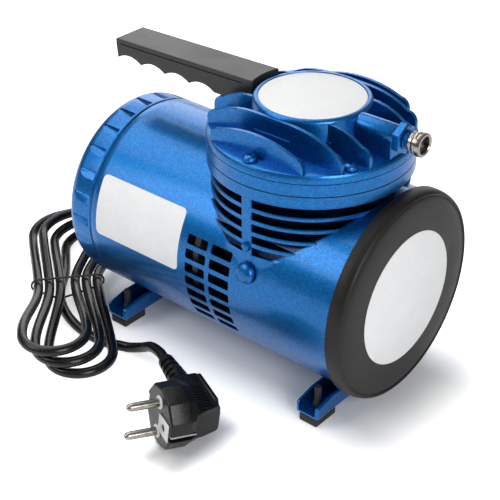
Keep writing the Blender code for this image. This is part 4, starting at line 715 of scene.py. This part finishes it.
# Foot bars: two channels folded from steel sheet, hollowed to the drum and screwed to it from
# below, painted with the same blue flake paint as the castings.
def flake_group():
    """Metallic flake in blue lacquer: cells of brighter and darker blue, with a faint orange peel."""
    group, given, result = shared_group(
        "flake_paint", {"Deep": "Color", "Bright": "Color", "Scale": "Float"}, surface_results
    )
    place = wired(group, "TexCoord", {}).outputs["Object"]
    cells = wired(group, "TexVoronoi", {"Vector": place, "Scale": given["Scale"]}).outputs["Color"]
    tint = wired(group, "SeparateColor", {"Color": cells}).outputs
    spread = wired(group, "MapRange", {"Value": tint["Red"], "From Min": 0.0, "From Max": 1.0})
    tones = {"Factor": spread.outputs["Result"], "A": given["Deep"], "B": given["Bright"]}
    gloss = wired(group, "MapRange", {"Value": tint["Green"], "To Min": 0.32, "To Max": 0.46})
    peel = wired(group, "TexNoise", {"Vector": place, "Scale": 650, "Detail": 2})
    group.links.new(wired(group, "Mix", tones, data_type="RGBA").outputs["Result"], result["Colour"])
    group.links.new(gloss.outputs["Result"], result["Roughness"])
    group.links.new(peel.outputs["Fac"], result["Height"])
    return group


flake_paint = flake_group()


def flaked(name, deep, bright, scale):
    """Blue lacquer with the shared flake under a thin clear coat."""
    given = {"Deep": (*deep, 1), "Bright": (*bright, 1), "Scale": scale}
    own = {"Metallic": 0.92, "Coat Weight": 0.38, "Coat Roughness": 0.16}
    return surfaced(name, flake_paint, given, 0.00006, 0.5, own)


deep_blue = (0.0005, 0.079, 0.275)
bright_blue = (0.0015, 0.181, 0.530)
flake_scale = 2000
blue_paint = flaked("blue_paint", deep_blue, bright_blue, flake_scale)


def drawn_plate(name, stations, along_axis, through_axis, low_side, high_side):
    """Strip drawn from one (place, low, high) station to the next, then thickened sideways."""
    axes = {"X": Vector((1, 0, 0)), "Y": Vector((0, 1, 0))}
    way, through = axes[along_axis], axes[through_axis]
    place, low, high = stations[0]
    bpy.ops.object.select_all(action="DESELECT")
    bpy.ops.mesh.primitive_circle_add(vertices=3, radius=0.001)
    piece = bpy.context.object
    piece.name = name
    opened("DESELECT")
    bpy.ops.object.mode_set(mode="OBJECT")
    piece.data.vertices[0].select = True
    bpy.ops.object.mode_set(mode="EDIT")
    bpy.ops.mesh.delete(type="VERT")
    bpy.ops.object.mode_set(mode="OBJECT")
    for vert, z in zip(piece.data.vertices, (low, high)):
        vert.co = way * place + through * low_side + Vector((0, 0, z))
    opened("SELECT")
    for next_place, next_low, next_high in stations[1:]:
        rise = (next_low + next_high - low - high) / 2
        shift = way * (next_place - place) + Vector((0, 0, rise))
        bpy.ops.mesh.extrude_region_move(TRANSFORM_OT_translate={"value": tuple(shift)})
        middle = way * next_place + through * low_side + Vector((0, 0, (next_low + next_high) / 2))
        growth = (next_high - next_low) / (high - low)
        bpy.ops.transform.resize(value=(1, 1, growth), center_override=tuple(middle))
        place, low, high = next_place, next_low, next_high
    bpy.ops.mesh.select_all(action="SELECT")
    bpy.ops.mesh.extrude_region_move(
        TRANSFORM_OT_translate={"value": tuple(through * (high_side - low_side))}
    )
    bpy.ops.mesh.select_all(action="SELECT")
    bpy.ops.mesh.remove_doubles(threshold=1e-7)
    bpy.ops.mesh.normals_make_consistent(inside=False)
    return closed(piece)


drum_axis_z = 0.070
drum_axis = (0, 0, drum_axis_z)
drum_radius = 0.059
bar_width = 0.0154
bar_sheet = 0.002
bar_low = 0.006
bar_half = 0.053
foot_places = {"rear": -0.073425, "front": 0.076475}
foot_y = 0.043
foot_channel = drawn_plate(
    "foot_channel",
    [
        (-bar_half, bar_low, 0.0135), (-0.0455, bar_low, 0.0151), (-0.038, bar_low, 0.0165),
        (0.038, bar_low, 0.0165), (0.0455, bar_low, 0.0151), (bar_half, bar_low, 0.0135),
    ],
    "Y", "X", -bar_width / 2, bar_width / 2,
)
eased(foot_channel, 0.0012, 3)
trough_half = bar_width / 2 - bar_sheet
trough = block("trough", (-trough_half, -0.06, bar_low + bar_sheet), (trough_half, 0.06, 0.04))
fitted(foot_channel, eased(trough, 0.0008, 2), "DIFFERENCE")
bored(foot_channel, drum_radius + 0.0003, -0.1, 0.1, "X", 160, drum_axis)
bar_holes = [
    turned("bar_hole", [(radius, 0.0), (radius, 0.012)], "Z", 24, (0, y, 0))
    for y, radius in ((-foot_y, 0.0024), (0, 0.0025), (foot_y, 0.0024))
]
fitted(foot_channel, gathered(bar_holes), "DIFFERENCE")
foot_channel.data.materials.append(blue_paint)
for end, bar_x in foot_places.items():
    bar = copied(foot_channel, f"{end}_foot_channel", Matrix.Translation((bar_x, 0, 0)))
    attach(bar, "housing")
    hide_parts(f"{end}_foot_bar")
bpy.data.objects.remove(foot_channel)


# Rubber feet: moulded blocks under the ends of the bars, each pulled up through its hole by a
# stem with a collar that snaps over the sheet.
rubber_foot = eased(block("rubber_foot", (-0.00625, -0.009, 0.0), (0.00625, 0.009, 0.0057)), 0.0009, 3)
foot_stem = turned(
    "foot_stem",
    [
        (0.0021, 0.003), (0.0021, 0.0083), (0.0028, 0.0085), (0.0029, 0.0095), (0.0024, 0.0113),
        (0.0021, 0.0116), (0.0021, 0.0206), (0.0018, 0.0213), (0.0012, 0.0215),
    ],
    "Z", 24,
)
fitted(rubber_foot, foot_stem, "UNION")
rubber_foot.data.materials.append(black_rubber)
for end, bar_x in foot_places.items():
    for hand, side in (("near", -1), ("far", 1)):
        foot_place = Matrix.Translation((bar_x, side * foot_y, 0))
        foot = copied(rubber_foot, f"{end}_{hand}_rubber_foot", foot_place)
        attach(foot, "housing")
        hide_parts(f"{end}_{hand}_foot")
bpy.data.objects.remove(rubber_foot)


# Motor housing: one aluminium casting with the drum, the grooved pump tower and its flange.
# The drum is bored through, and its sides are slotted in two columns to let cooling air in.
seam_x = -0.085225
front_seam_x = 0.092675
head_x = 0.034225
head_axis = (head_x, 0, 0)
drum_bore = 0.056
flange_top = 0.1398
flange_radius = 0.0574
flange_low = 0.1328
tower_radius = 0.0555
tower_root = 0.047
tower_bore = 0.042
seam_lip = 0.0003
ring_pitch = 0.0073
ring_half = 0.00125
ring_count = 5
drum_steps = 44
drum_rings = [(0.0575, seam_x + 0.0003), (0.0587, seam_x + 0.0005)]
drum_low, drum_high = seam_x + 0.0010, front_seam_x - 0.0008
drum_rings += [
    (drum_radius, drum_low + (drum_high - drum_low) * i / drum_steps) for i in range(drum_steps + 1)
]
drum_rings += [(0.0585, front_seam_x), (0.0575, front_seam_x)]
housing = turned("motor_casting", drum_rings, "X", 160, drum_axis)
tower_rings = [(tower_radius, drum_axis_z)]
lowest = flange_low - ring_count * ring_pitch
for i in range(ring_count):
    middle = lowest + i * ring_pitch
    low, high = middle - ring_half, middle + ring_half
    if i > 0:
        tower_rings += [
            (tower_root + 0.0006, low - 0.0001), (tower_radius - 0.0007, low),
            (tower_radius - 0.0001, low + 0.0005),
        ]
    root_end = flange_low - 0.0006
    if i < ring_count - 1:
        root_end = high + ring_pitch - 2 * ring_half - 0.0007
    tower_rings += [
        (tower_radius, middle), (tower_radius - 0.0001, high - 0.0005), (tower_radius - 0.0007, high),
        (tower_root + 0.0006, high + 0.0001), (tower_root, high + 0.0007), (tower_root, root_end),
    ]
lip_radius = flange_radius + seam_lip
seam_radius = flange_radius + 0.00006
tower_rings += [
    (tower_root + 0.0006, flange_low), (flange_radius - 0.0008, flange_low),
    (flange_radius, flange_low + 0.0008), (flange_radius, flange_low + 0.0012),
    (lip_radius, flange_low + 0.0015), (lip_radius, flange_top + 0.0006),
    (seam_radius, flange_top + 0.0006), (seam_radius, flange_top), (flange_radius - 0.0005, flange_top),
]
tower = turned("tower", tower_rings, "Z", 160, head_axis)
fitted(housing, tower, "UNION")
rib_half = 0.0035
rib_inside = 0.0445
rib_outside = 0.0553
ribs = []
for side in (-1, 1):
    low_y, high_y = sorted((side * rib_inside, side * rib_outside))
    rib = block("rib", (head_x - rib_half, low_y, 0.072), (head_x + rib_half, high_y, 0.136))
    ribs.append(eased(rib, 0.0008, 2))
    rib_foot = turned(
        "rib_foot",
        [(0.0027, side * 0.0520), (0.0027, side * 0.0562), (0.0023, side * 0.0573), (0.0012, side * 0.0578)],
        "Y", 24, (head_x + 0.0005, 0, 0.1022),
    )
    ribs.append(rib_foot)
for rib in ribs:
    fitted(housing, rib, "UNION")
bored(housing, drum_bore, -0.1, 0.11, "X", 120, drum_axis)
bored(housing, tower_bore, 0.098, 0.15, "Z", 120, head_axis)
slot_length = 0.0148
slot_height = 0.0058
slot_pitch = math.radians(8.45)
slot_middle = math.radians(185.2)
slots = []
for row in range(7):
    lean = slot_middle + (row - 3) * slot_pitch
    for column in (-1, 1):
        x = head_x - 0.0265 + column * (slot_length / 2 + 0.0015)
        for turn_angle in (lean, math.pi - lean):
            slot_low = (x - slot_length / 2, 0.052, -slot_height / 2)
            slot_high = (x + slot_length / 2, 0.063, slot_height / 2)
            slot = eased(block("slot", slot_low, slot_high), 0.0009, 2)
            place = Matrix.Translation(drum_axis) @ Matrix.Rotation(turn_angle, 4, "X")
            slots.append(placed(slot, place))
fitted(housing, gathered(slots), "DIFFERENCE")
plug_lean = math.radians(164)
plug_way = Matrix.Translation((head_x + 0.0015, 0, drum_axis_z)) @ Matrix.Rotation(plug_lean, 4, "X")
plug_room = turned(
    "plug_room", [(0.0043, 0.053), (0.0043, 0.0586), (0.0066, 0.0586), (0.0066, 0.0680)], "Y", 40
)
fitted(housing, placed(plug_room, plug_way), "DIFFERENCE")
casting_paint = flaked("casting_paint", deep_blue, bright_blue, flake_scale)
casting_tree = casting_paint.node_tree
casting_place = wired(casting_tree, "TexCoord", {}).outputs["Object"]


def casting_reach(centre, plane):
    """Distance from an axis of the casting."""
    moved = wired(casting_tree, "VectorMath", {0: casting_place, 1: centre}, operation="SUBTRACT").outputs[0]
    flat = wired(casting_tree, "VectorMath", {0: moved, 1: plane}, operation="MULTIPLY").outputs[0]
    return wired(casting_tree, "VectorMath", {0: flat}, operation="LENGTH").outputs["Value"]


def casting_edge(source, dark_side, light_side):
    """Mask that goes from one to nothing between two levels of a distance."""
    levels = {"Value": source, "From Min": dark_side, "From Max": light_side, "To Min": 1.0, "To Max": 0.0}
    return wired(casting_tree, "MapRange", levels).outputs["Result"]


# Painted shade: the tower's grooves and the inside of the drum, with its slot walls and the plug's hole, are
# mixed to a near-black blue for the shade in these recesses.
casting_height = wired(casting_tree, "SeparateXYZ", {0: casting_place}).outputs["Z"]
shade = casting_edge(casting_reach(head_axis, (1, 1, 0)), tower_radius - 0.0012, tower_radius - 0.0006)
drum_inside = casting_edge(
    casting_reach(drum_axis, (0, 1, 1)), drum_radius - 0.0006, drum_radius - 0.0002
)
for operation, mask in (
    ("MULTIPLY", casting_edge(casting_height, lowest + 0.0003, lowest - 0.0003)),
    ("MULTIPLY", casting_edge(casting_height, flange_low - 0.0001, flange_low + 0.0002)),
    ("MAXIMUM", drum_inside),
):
    shade = wired(casting_tree, "Math", {0: shade, 1: mask}, operation=operation).outputs[0]
painted_recess_shade = (0.0012, 0.011, 0.050, 1)
casting_shader = casting_tree.nodes["Principled BSDF"]
casting_flake = casting_shader.inputs["Base Color"].links[0].from_socket
casting_colour = wired(
    casting_tree, "Mix", {"Factor": shade, "A": casting_flake, "B": painted_recess_shade}, data_type="RGBA"
)
casting_tree.links.new(casting_colour.outputs["Result"], casting_shader.inputs["Base Color"])
housing.data.materials.append(casting_paint)
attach(housing, "housing")
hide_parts("motor_housing")


# Side plug: a domed steel plug pressed into a spot-faced hole in the near side of the drum, below
# the tower, and painted over with it.
side_plug = turned(
    "side_dome",
    [
        (0.0040, 0.0560), (0.0040, 0.0593), (0.0059, 0.0593), (0.0060, 0.0600), (0.0059, 0.0608),
        (0.0055, 0.0618), (0.0047, 0.0626), (0.0035, 0.0631), (0.0018, 0.0633), (0.0004, 0.0633),
    ],
    "Y", 40,
)
placed(side_plug, plug_way)
side_plug.data.materials.append(blue_paint)
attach(side_plug, "housing")
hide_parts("side_plug")


# Rating label place: a blank white plastic film with round corners, stuck to the near side of the
# drum behind the grille and bent to its curve.
label_rear = -0.0798
label_front = -0.0143
label_half = 0.0186
label_edges = (145.2, 182)
film_inside = drum_radius + 0.00002
film_outside = drum_radius + 0.00025
label_sheet = turned(
    "rating_label_place",
    [
        (film_inside, label_rear), (film_outside, label_rear), (film_outside, label_front),
        (film_inside, label_front),
    ],
    "X", 200, drum_axis, ring=True,
)
label_lean = math.radians(sum(label_edges) / 2)
label_stamp = block("label_stamp", (label_rear, 0.030, -label_half), (label_front, 0.070, label_half))
opened("DESELECT")
bpy.ops.object.mode_set(mode="OBJECT")
for edge in label_stamp.data.edges:
    ends = [label_stamp.data.vertices[i].co for i in edge.vertices]
    edge.select = abs(ends[0].y - ends[1].y) > 0.01
bpy.ops.object.mode_set(mode="EDIT")
bpy.ops.mesh.select_mode(type="EDGE")
bpy.ops.mesh.bevel(offset=0.003, segments=6, affect="EDGES")
bpy.ops.mesh.select_mode(type="VERT")
bpy.ops.object.mode_set(mode="OBJECT")
placed(label_stamp, Matrix.Translation(drum_axis) @ Matrix.Rotation(label_lean, 4, "X"))
fitted(label_sheet, label_stamp, "INTERSECT")
label_film = grained("label_film", (0.83, 0.835, 0.84), (0.88, 0.885, 0.89), 400, 0.52, 0.62, 0.01)
label_sheet.data.materials.append(label_film)
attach(label_sheet, "housing")


# Rear cover: an aluminium cup, cast with a well-rounded edge and spigoted into the drum, with a row
# of wedge notches round it by which it is gripped.
rear_x = -0.106825
rear_fillet = 0.009
cover_rings = [(0.0500 * share, rear_x) for share in (0.3, 0.7, 0.96)]
for i in range(11):
    bend = math.radians(9 * i)
    fillet_radius = drum_radius - rear_fillet + rear_fillet * math.sin(bend)
    cover_rings.append((fillet_radius, rear_x + rear_fillet - rear_fillet * math.cos(bend)))
cover_rings += raised(
    seam_x,
    [(drum_radius, -0.0008), (drum_radius - 0.0006, 0), (0.0557, 0), (0.0557, 0.0045), (0.0527, 0.0045)],
)
cover_rings += raised(
    rear_x, [(0.0527, 0.005), (0.0153, 0.005), (0.0153, 0.0126), (0.0113, 0.0126), (0.0113, 0.005)]
)
rear_cover = turned("rear_cup", cover_rings, "X", 150, drum_axis)
notch_start = seam_x - 0.002
notch_length = 0.0125
notch_width = 0.0050
notch_count = 25
notch_slope = Matrix.Translation((0, -notch_width / 2, drum_radius))
notch_slope = notch_slope @ Matrix.Rotation(math.radians(-22), 4, "X")
notch_stations = [(notch_start - notch_length, 0.0010, 0.008), (notch_start, -0.0006, 0.008)]
notches = []
for i in range(notch_count):
    notch = drawn_plate("notch", notch_stations, "X", "Y", 0.0, notch_width)
    lean = Matrix.Rotation(math.radians(2.3 + 360 / notch_count * i), 4, "X")
    notches.append(placed(notch, Matrix.Translation(drum_axis) @ lean @ notch_slope))
fitted(rear_cover, gathered(notches), "DIFFERENCE")
bored(rear_cover, 0.0055, -0.004, 0.009, "X", 32, gland_place)
rear_cover.data.materials.append(blue_paint)
# Painted shade: the upright walls of the notches get a darker blue than the cover, for the shade in these
# recesses.
notch_painted_shade = flaked("notch_painted_shade", (0.0004, 0.030, 0.115), (0.001, 0.075, 0.240), flake_scale)
rear_cover.data.materials.append(notch_painted_shade)
for face in rear_cover.data.polygons:
    bend_depth = max(rear_x + rear_fillet - face.center.x, 0.0)
    skin = drum_radius - rear_fillet + math.sqrt(max(rear_fillet ** 2 - bend_depth ** 2, 0.0))
    reach = math.hypot(face.center.y, face.center.z - drum_axis_z)
    upright = abs(face.normal.y * face.center.y + face.normal.z * (face.center.z - drum_axis_z)) < 0.6 * reach
    if rear_x + 0.0015 < face.center.x < notch_start + 0.0002 and reach < skin - 0.0002 and upright:
        face.material_index = 1
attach(rear_cover, "housing")
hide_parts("rear_cover")


# Front cover: a moulded plastic cap over the fan, with a soft rim, a shallow valley inside it
# and a flat middle that carries a blank white round label.
face_x = front_seam_x + 0.0003 + 0.0098
cap_radius = 0.0617
spigot_x = 0.088475
cap_seam_x = 0.092975
cap_rings = raised(face_x, [(0.0010, -0.003), (0.0420, -0.003), (0.0527, -0.0042)])
cap_rings += [
    (0.0527, spigot_x), (0.0557, spigot_x), (0.0557, cap_seam_x), (cap_radius - 0.0004, cap_seam_x),
    (cap_radius, 0.0934),
]
cap_rings += [
    (cap_radius - inwards, face_x - behind)
    for inwards, behind in (
        (0, 0.0065), (0.0001, 0.0050), (0.0004, 0.0036), (0.0008, 0.0023), (0.0013, 0.0014), (0.0020, 0.0010),
        (0.0027, 0.0013), (0.0031, 0.0018), (0.0036, 0.0014), (0.0060, 0.0008), (0.0097, 0.0003),
    )
]
cap_rings += [(0.0440, face_x), (0.0010, face_x)]
front_cover = turned("front_cap", cap_rings, "X", 160, drum_axis)
cap_plastic = grained(
    "cap_plastic", (0.009, 0.0081, 0.0073), (0.015, 0.0136, 0.0123), 900, 0.40, 0.50, 0.05, shine=0.27
)
front_cover.data.materials.append(cap_plastic)
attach(front_cover, "housing")
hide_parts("front_cover")
front_label = turned(
    "front_label_place",
    raised(face_x, [(0.0008, 0.0002), (0.0392, 0.0002), (0.0394, 0.0001), (0.0394, 0), (0.0008, 0)]),
    "X", 120, drum_axis,
)
front_label.data.materials.append(label_film)
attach(front_label, "housing")


# Motor and pump inside: the machined, stamped and wound pieces keep their own shapes and get steel,
# laminated iron, enamelled copper, cast aluminium, moulded plastic and rubber. The metals are coloured
# far darker than they are, as painted shade inside the drum.
steel_in_painted_shade = grained(
    "steel_in_painted_shade", (0.030, 0.030, 0.031), (0.06, 0.06, 0.061), 350, 0.4, 0.55, 0.01, metallic=0.9
)
iron_stack = grained(
    "iron_stack", (0.012, 0.012, 0.011), (0.024, 0.023, 0.022), 800, 0.5, 0.7, 0.05, metallic=0.6
)
copper_wire = grained(
    "copper_wire", (0.05, 0.017, 0.006), (0.09, 0.034, 0.013), 1100, 0.4, 0.55, 0.2, metallic=0.6
)
cast_aluminium = grained(
    "cast_aluminium", (0.06, 0.06, 0.062), (0.10, 0.10, 0.102), 700, 0.5, 0.66, 0.06, metallic=0.9
)
fan_plastic = grained("fan_plastic", (0.045, 0.045, 0.050), (0.070, 0.070, 0.075), 600, 0.42, 0.55, 0.03)
for look, names in (
    (steel_in_painted_shade, (
        "motor_shaft", "rear_bearing", "middle_bearing", "rod_bearing", "eccentric", "retainer_screw",
        "intake_reed", "exhaust_reed", "handle_screw_1", "handle_screw_2", "front_bar_screw",
        "rear_bar_screw",
    )),
    (iron_stack, ("stator_core", "rotor_core")),
    (copper_wire, ("front_winding", "rear_winding")),
    (cast_aluminium, ("bearing_bracket", "connecting_rod", "diaphragm_retainer")),
    (fan_plastic, ("cooling_fan",)),
    (black_rubber, ("head_gasket",)),
):
    for name in names:
        for material_slot in nodes[name].material_slots:
            material_slot.material = look


# Valve plate: a flat aluminium ring clamped between the flange and the head, with the pump chamber
# turned out of its underside and two ports drilled through.
plate_low = 0.1416
plate_top = 0.1475
step_radius = flange_radius - 0.0003
valve_plate = turned(
    "valve_ring",
    [
        (0.0010, plate_low + 0.0039), (0.0415, plate_low + 0.0039), (0.0415, plate_low),
        (seam_radius, plate_low), (seam_radius, plate_low - 0.0006), (lip_radius, plate_low - 0.0006),
        (lip_radius, plate_top + 0.0003), (step_radius, plate_top + 0.0003), (step_radius, plate_top),
        (0.0010, plate_top),
    ],
    "Z", 160, head_axis,
)
ports = [
    turned("port", [(0.0025, plate_low), (0.0025, plate_top + 0.002)], "Z", 20, (head_x + x, y, 0))
    for x, y in ((0.008, 0), (0, 0.0355))
]
fitted(valve_plate, gathered(ports), "DIFFERENCE")
valve_plate.data.materials.append(blue_paint)
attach(valve_plate, "housing")
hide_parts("valve_plate")


# Head cover: an aluminium plate cast with a round boss over the discharge chamber, six cooling fins
# that fall away towards the rim, and an outlet tube on a web. Six screws hold it down.
cover_low = 0.1485
cover_top = 0.1531
boss_top = 0.1716
boss_radius = 0.0326
outlet_z = 0.165
outlet_axis = (0, 0, outlet_z)
fin_rim = 0.0565
fin_corner = 0.006
fin_half = 0.0011
fin_foot = cover_top - 0.002
head_cover = turned(
    "head_casting",
    [
        (0.0010, boss_top - 0.004), (0.028, boss_top - 0.004), (0.028, cover_low),
        (step_radius, cover_low), (step_radius, cover_low - 0.0003),
        (lip_radius, cover_low - 0.0003), (lip_radius, cover_top - 0.0014),
        (flange_radius, cover_top - 0.0009), (step_radius, cover_top - 0.0003),
        (flange_radius - 0.0009, cover_top), (boss_radius + 0.0012, cover_top),
        (boss_radius + 0.0004, cover_top + 0.0004), (boss_radius, cover_top + 0.0012),
        (boss_radius, boss_top - 0.0018), (boss_radius - 0.0003, boss_top - 0.0009),
        (boss_radius - 0.0009, boss_top - 0.0003), (boss_radius - 0.0018, boss_top), (0.0299, boss_top),
        (0.0297, boss_top - 0.0006), (0.0010, boss_top - 0.0006),
    ],
    "Z", 160, head_axis,
)


def fin_stations(offset):
    """Places along a fin with its foot and its crown, rounded at both ends."""
    half = math.sqrt(fin_rim ** 2 - offset ** 2)

    def crown(x):
        spread = max(math.hypot(x, offset) - boss_radius, 0) / 0.014
        return cover_top + 0.0168 - 0.0039 * spread ** 2

    shoulder = half - fin_corner
    side = []
    for i in range(7):
        bend = math.radians(15 * i)
        x = shoulder + fin_corner * math.cos(bend)
        side.append((x, fin_foot, crown(shoulder) - fin_corner + fin_corner * math.sin(bend)))
    side += [(shoulder * (1 - i / 8), fin_foot, crown(shoulder * (1 - i / 8))) for i in range(1, 8)]
    left = [(head_x - x, low, high) for x, low, high in side]
    right = [(head_x + x, low, high) for x, low, high in reversed(side)]
    return left + [(head_x, fin_foot, crown(0))] + right


for offset in (0.019, 0.033, 0.047):
    for side in (-1, 1):
        y = side * offset
        fin = drawn_plate("fin", fin_stations(offset), "X", "Y", y - fin_half, y + fin_half)
        fitted(head_cover, eased(fin, 0.0004, 2, 50), "UNION")
for low_x, high_x, y, z in ((0.022, 0.046, -0.0341, 0.1600), (0.053, 0.0625, -0.0201, 0.1592)):
    sliver = block("sliver", (low_x, y - 0.0007, z - 0.0006), (high_x, y + 0.0004, z + 0.0006))
    fitted(head_cover, eased(sliver, 0.0004, 2), "UNION")
tube_end = head_x + 0.0562
outlet_tube = turned(
    "outlet_tube",
    [(0.0060, head_x + 0.0303), (0.0060, tube_end - 0.0008), (0.0055, tube_end)], "X", 48, outlet_axis,
)
web = block("web", (head_x + 0.0303, -0.0058, fin_foot), (tube_end - 0.0004, 0.0058, outlet_z))
fitted(head_cover, eased(web, 0.0006, 2), "UNION")
fitted(head_cover, outlet_tube, "UNION")
bored(head_cover, 0.0036, head_x + 0.024, head_x + 0.06, "X", 32, outlet_axis)
screw_circle = 0.0523
screw_places = []
for i in range(6):
    bend = math.radians(-90 + 60 * i)
    screw_places.append((head_x + screw_circle * math.cos(bend), screw_circle * math.sin(bend)))


def screw_rods():
    """Rods in the places of the head screws, to cut their holes with."""
    return gathered([
        turned("hole", [(0.0023, 0.13), (0.0023, 0.16)], "Z", 20, (x, y, 0)) for x, y in screw_places
    ])


fitted(head_cover, screw_rods(), "DIFFERENCE")
head_cover.data.materials.append(blue_paint)
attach(head_cover, "housing")
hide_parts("head_cover")
boss_label = turned(
    "boss_label_place",
    raised(
        boss_top,
        [(0.0008, -0.0003), (0.0291, -0.0003), (0.0293, -0.0004), (0.0293, -0.0006), (0.0008, -0.0006)],
    ),
    "Z", 120, head_axis,
)
boss_label.data.materials.append(label_film)
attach(boss_label, "housing")


# Diaphragm: a rubber disc whose rim is clamped under the valve plate while its middle moves with
# the rod, so it is parted where the rubber would flex, with room for the rod's throw.
rim_low = 0.1401
rim_top = 0.1413
diaphragm_rim = turned(
    "diaphragm_rim",
    [
        (0.0318, rim_low - 0.0017), (0.0355, rim_low - 0.0010), (0.0420, rim_low), (0.0568, rim_low),
        (0.0568, rim_top), (0.0420, rim_top), (0.0355, rim_top - 0.0010), (0.0318, rim_top - 0.0017),
    ],
    "Z", 96, head_axis, ring=True,
)
fitted(diaphragm_rim, screw_rods(), "DIFFERENCE")
diaphragm_rim.data.materials.append(black_rubber)
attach(diaphragm_rim, "housing")
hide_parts("diaphragm")
middle_low = rim_low - 0.002
middle_top = rim_top - 0.002
diaphragm_middle = turned(
    "diaphragm_middle",
    [(0.0025, middle_low), (0.0293, middle_low), (0.0293, middle_top), (0.0025, middle_top)],
    "Z", 96, head_axis, ring=True,
)
diaphragm_middle.data.materials.append(black_rubber)
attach(diaphragm_middle, "rod")


# Head screws: six pan-head steel screws with cross recesses, driven through the stack into the
# flange and painted over with the head.
screw_seat = cover_top + 0.0003
screw_rings = [(0.0020, 0.1353)]
screw_rings += raised(
    screw_seat,
    [
        (0.0020, 0), (0.0039, 0), (0.0040, 0.0003), (0.0040, 0.0009), (0.0037, 0.0018), (0.0031, 0.0024),
        (0.0020, 0.0028), (0.0008, 0.0030),
    ],
)
pan_screw = turned("pan_screw", screw_rings, "Z", 32)
recess_low = screw_seat + 0.0013
recess_top = screw_seat + 0.004
recess, recess_across = [
    block("recess", (-x, -y, recess_low), (x, y, recess_top))
    for x, y in ((0.0017, 0.00045), (0.00045, 0.0017))
]
fitted(recess, recess_across, "UNION")
fitted(pan_screw, recess, "DIFFERENCE")
pan_screw.data.materials.append(blue_paint)
for number, (x, y) in enumerate(screw_places, 1):
    screw_turn = Matrix.Rotation(math.radians(25 + 47 * number), 4, "Z")
    screw = copied(pan_screw, f"pan_screw_{number}", Matrix.Translation((x, y, 0)) @ screw_turn)
    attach(screw, "housing")
    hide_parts(f"head_screw_{number}")
bpy.data.objects.remove(pan_screw)


# Outlet fitting: a metal hexagon screwed into the outlet tube, painted with the head, with its
# thread showing in front of it.
hex_low = tube_end + 0.0003
fitting = turned(
    "outlet_hexagon",
    raised(hex_low, [(0.0075, 0), (0.0086, 0.0006), (0.0086, 0.0044), (0.0075, 0.0050)]),
    "X", 6, outlet_axis,
)
thread_rings = raised(hex_low, [(0.0033, -0.008), (0.0033, 0.0025), (0.0052, 0.0026)])
for i in range(3):
    thread_rings += raised(
        hex_low + 0.0051 + i * 0.00095, [(0.0046, 0), (0.0052, 0.0004), (0.0052, 0.0005), (0.0046, 0.0009)]
    )
thread_rings.append((0.0044, hex_low + 0.0080))
fitted(fitting, turned("thread", thread_rings, "X", 40, outlet_axis), "UNION")
bored(fitting, 0.0021, hex_low - 0.012, hex_low + 0.012, "X", 24, outlet_axis)
fitting.data.materials.append(blue_paint)
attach(fitting, "housing")
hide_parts("outlet_fitting")


# Outlet nipple: turned brass, nickel plated, with a narrow neck, a plain collar and a bore that
# takes the hose.
nipple_low = head_x + 0.0648
nipple_end = head_x + 0.0726
nipple_rings = raised(
    nipple_low,
    [
        (0.0021, 0), (0.0052, 0), (0.0057, 0.0004), (0.0057, 0.0012), (0.0054, 0.0015), (0.0054, 0.0020),
        (0.0061, 0.0026), (0.0063, 0.0032), (0.0063, 0.0040), (0.0060, 0.0044), (0.0066, 0.0050),
    ],
)
nipple_rings += raised(
    nipple_end,
    [
        (0.0066, -0.0006), (0.0063, -0.0001), (0.0060, 0), (0.0050, 0), (0.0046, -0.0005), (0.0046, -0.005),
        (0.0021, -0.005),
    ],
)
nipple = turned("plated_nipple", nipple_rings, "X", 64, outlet_axis, ring=True)
nipple.data.materials.append(nickel)
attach(nipple, "housing")
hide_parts("outlet_nipple")


# Carrying handle: moulded in one from black plastic, with four finger scallops below and a root
# that two screws hold to the head cover. A fine groove runs along each side, under the top edge.
handle_rear = head_x - 0.1372
rear_top = 0.1702
front_top = 0.1736
handle_low = 0.1582
root_rear = head_x - 0.0555
handle_front = head_x - 0.0286
handle_half = 0.0115


def handle_top(x):
    return rear_top + (front_top - rear_top) * (x - handle_rear) / (handle_front - handle_rear)


scallop = 0.019
scallop_rise = 0.003
scallop_end = handle_rear + 4 * scallop
handle_stations = [
    (handle_rear - 0.0009, rear_top - 0.004, rear_top),
    (handle_rear - 0.0003, handle_low + scallop_rise, rear_top),
]
for i in range(4):
    for j in range(12):
        x = handle_rear + (i + j / 12) * scallop
        rise = scallop_rise * (1 - (2 * j / 12 - 1) ** 2)
        handle_stations.append((x, handle_low + rise, handle_top(x)))
handle_stations += [
    (scallop_end, handle_low, handle_top(scallop_end)),
    (root_rear - 0.0002, handle_low, handle_top(root_rear)),
    (root_rear, cover_top + 0.0003, handle_top(root_rear)),
    (handle_front, cover_top + 0.0003, front_top),
]
handle = drawn_plate("carry_handle", handle_stations, "X", "Y", -handle_half, handle_half)
bored(handle, boss_radius + 0.002, 0.145, 0.18, "Z", 120, head_axis)
eased(handle, 0.0014, 3, 55)
groove_depth = 0.0006
groove_stations = [
    (x, handle_top(x) - 0.0032, handle_top(x) - 0.0024) for x in (handle_rear + 0.003, handle_front - 0.012)
]
handle_grooves = [
    drawn_plate("groove", groove_stations, "X", "Y", y - groove_depth, y + groove_depth)
    for y in (-handle_half, handle_half)
]
fitted(handle, gathered(handle_grooves), "DIFFERENCE")
screw_holes = [
    turned("hole", [(0.0021, 0.150), (0.0021, cover_top + 0.0093)], "Z", 20, (head_x - reach, 0, 0))
    for reach in (0.05, 0.0395)
]
fitted(handle, gathered(screw_holes), "DIFFERENCE")
handle_plastic = grained(
    "handle_plastic", (0.016, 0.0150, 0.0140), (0.026, 0.0245, 0.0230), 1100, 0.32, 0.44, 0.06, shine=0.35
)
handle.data.materials.append(handle_plastic)
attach(handle, "housing")
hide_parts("handle")
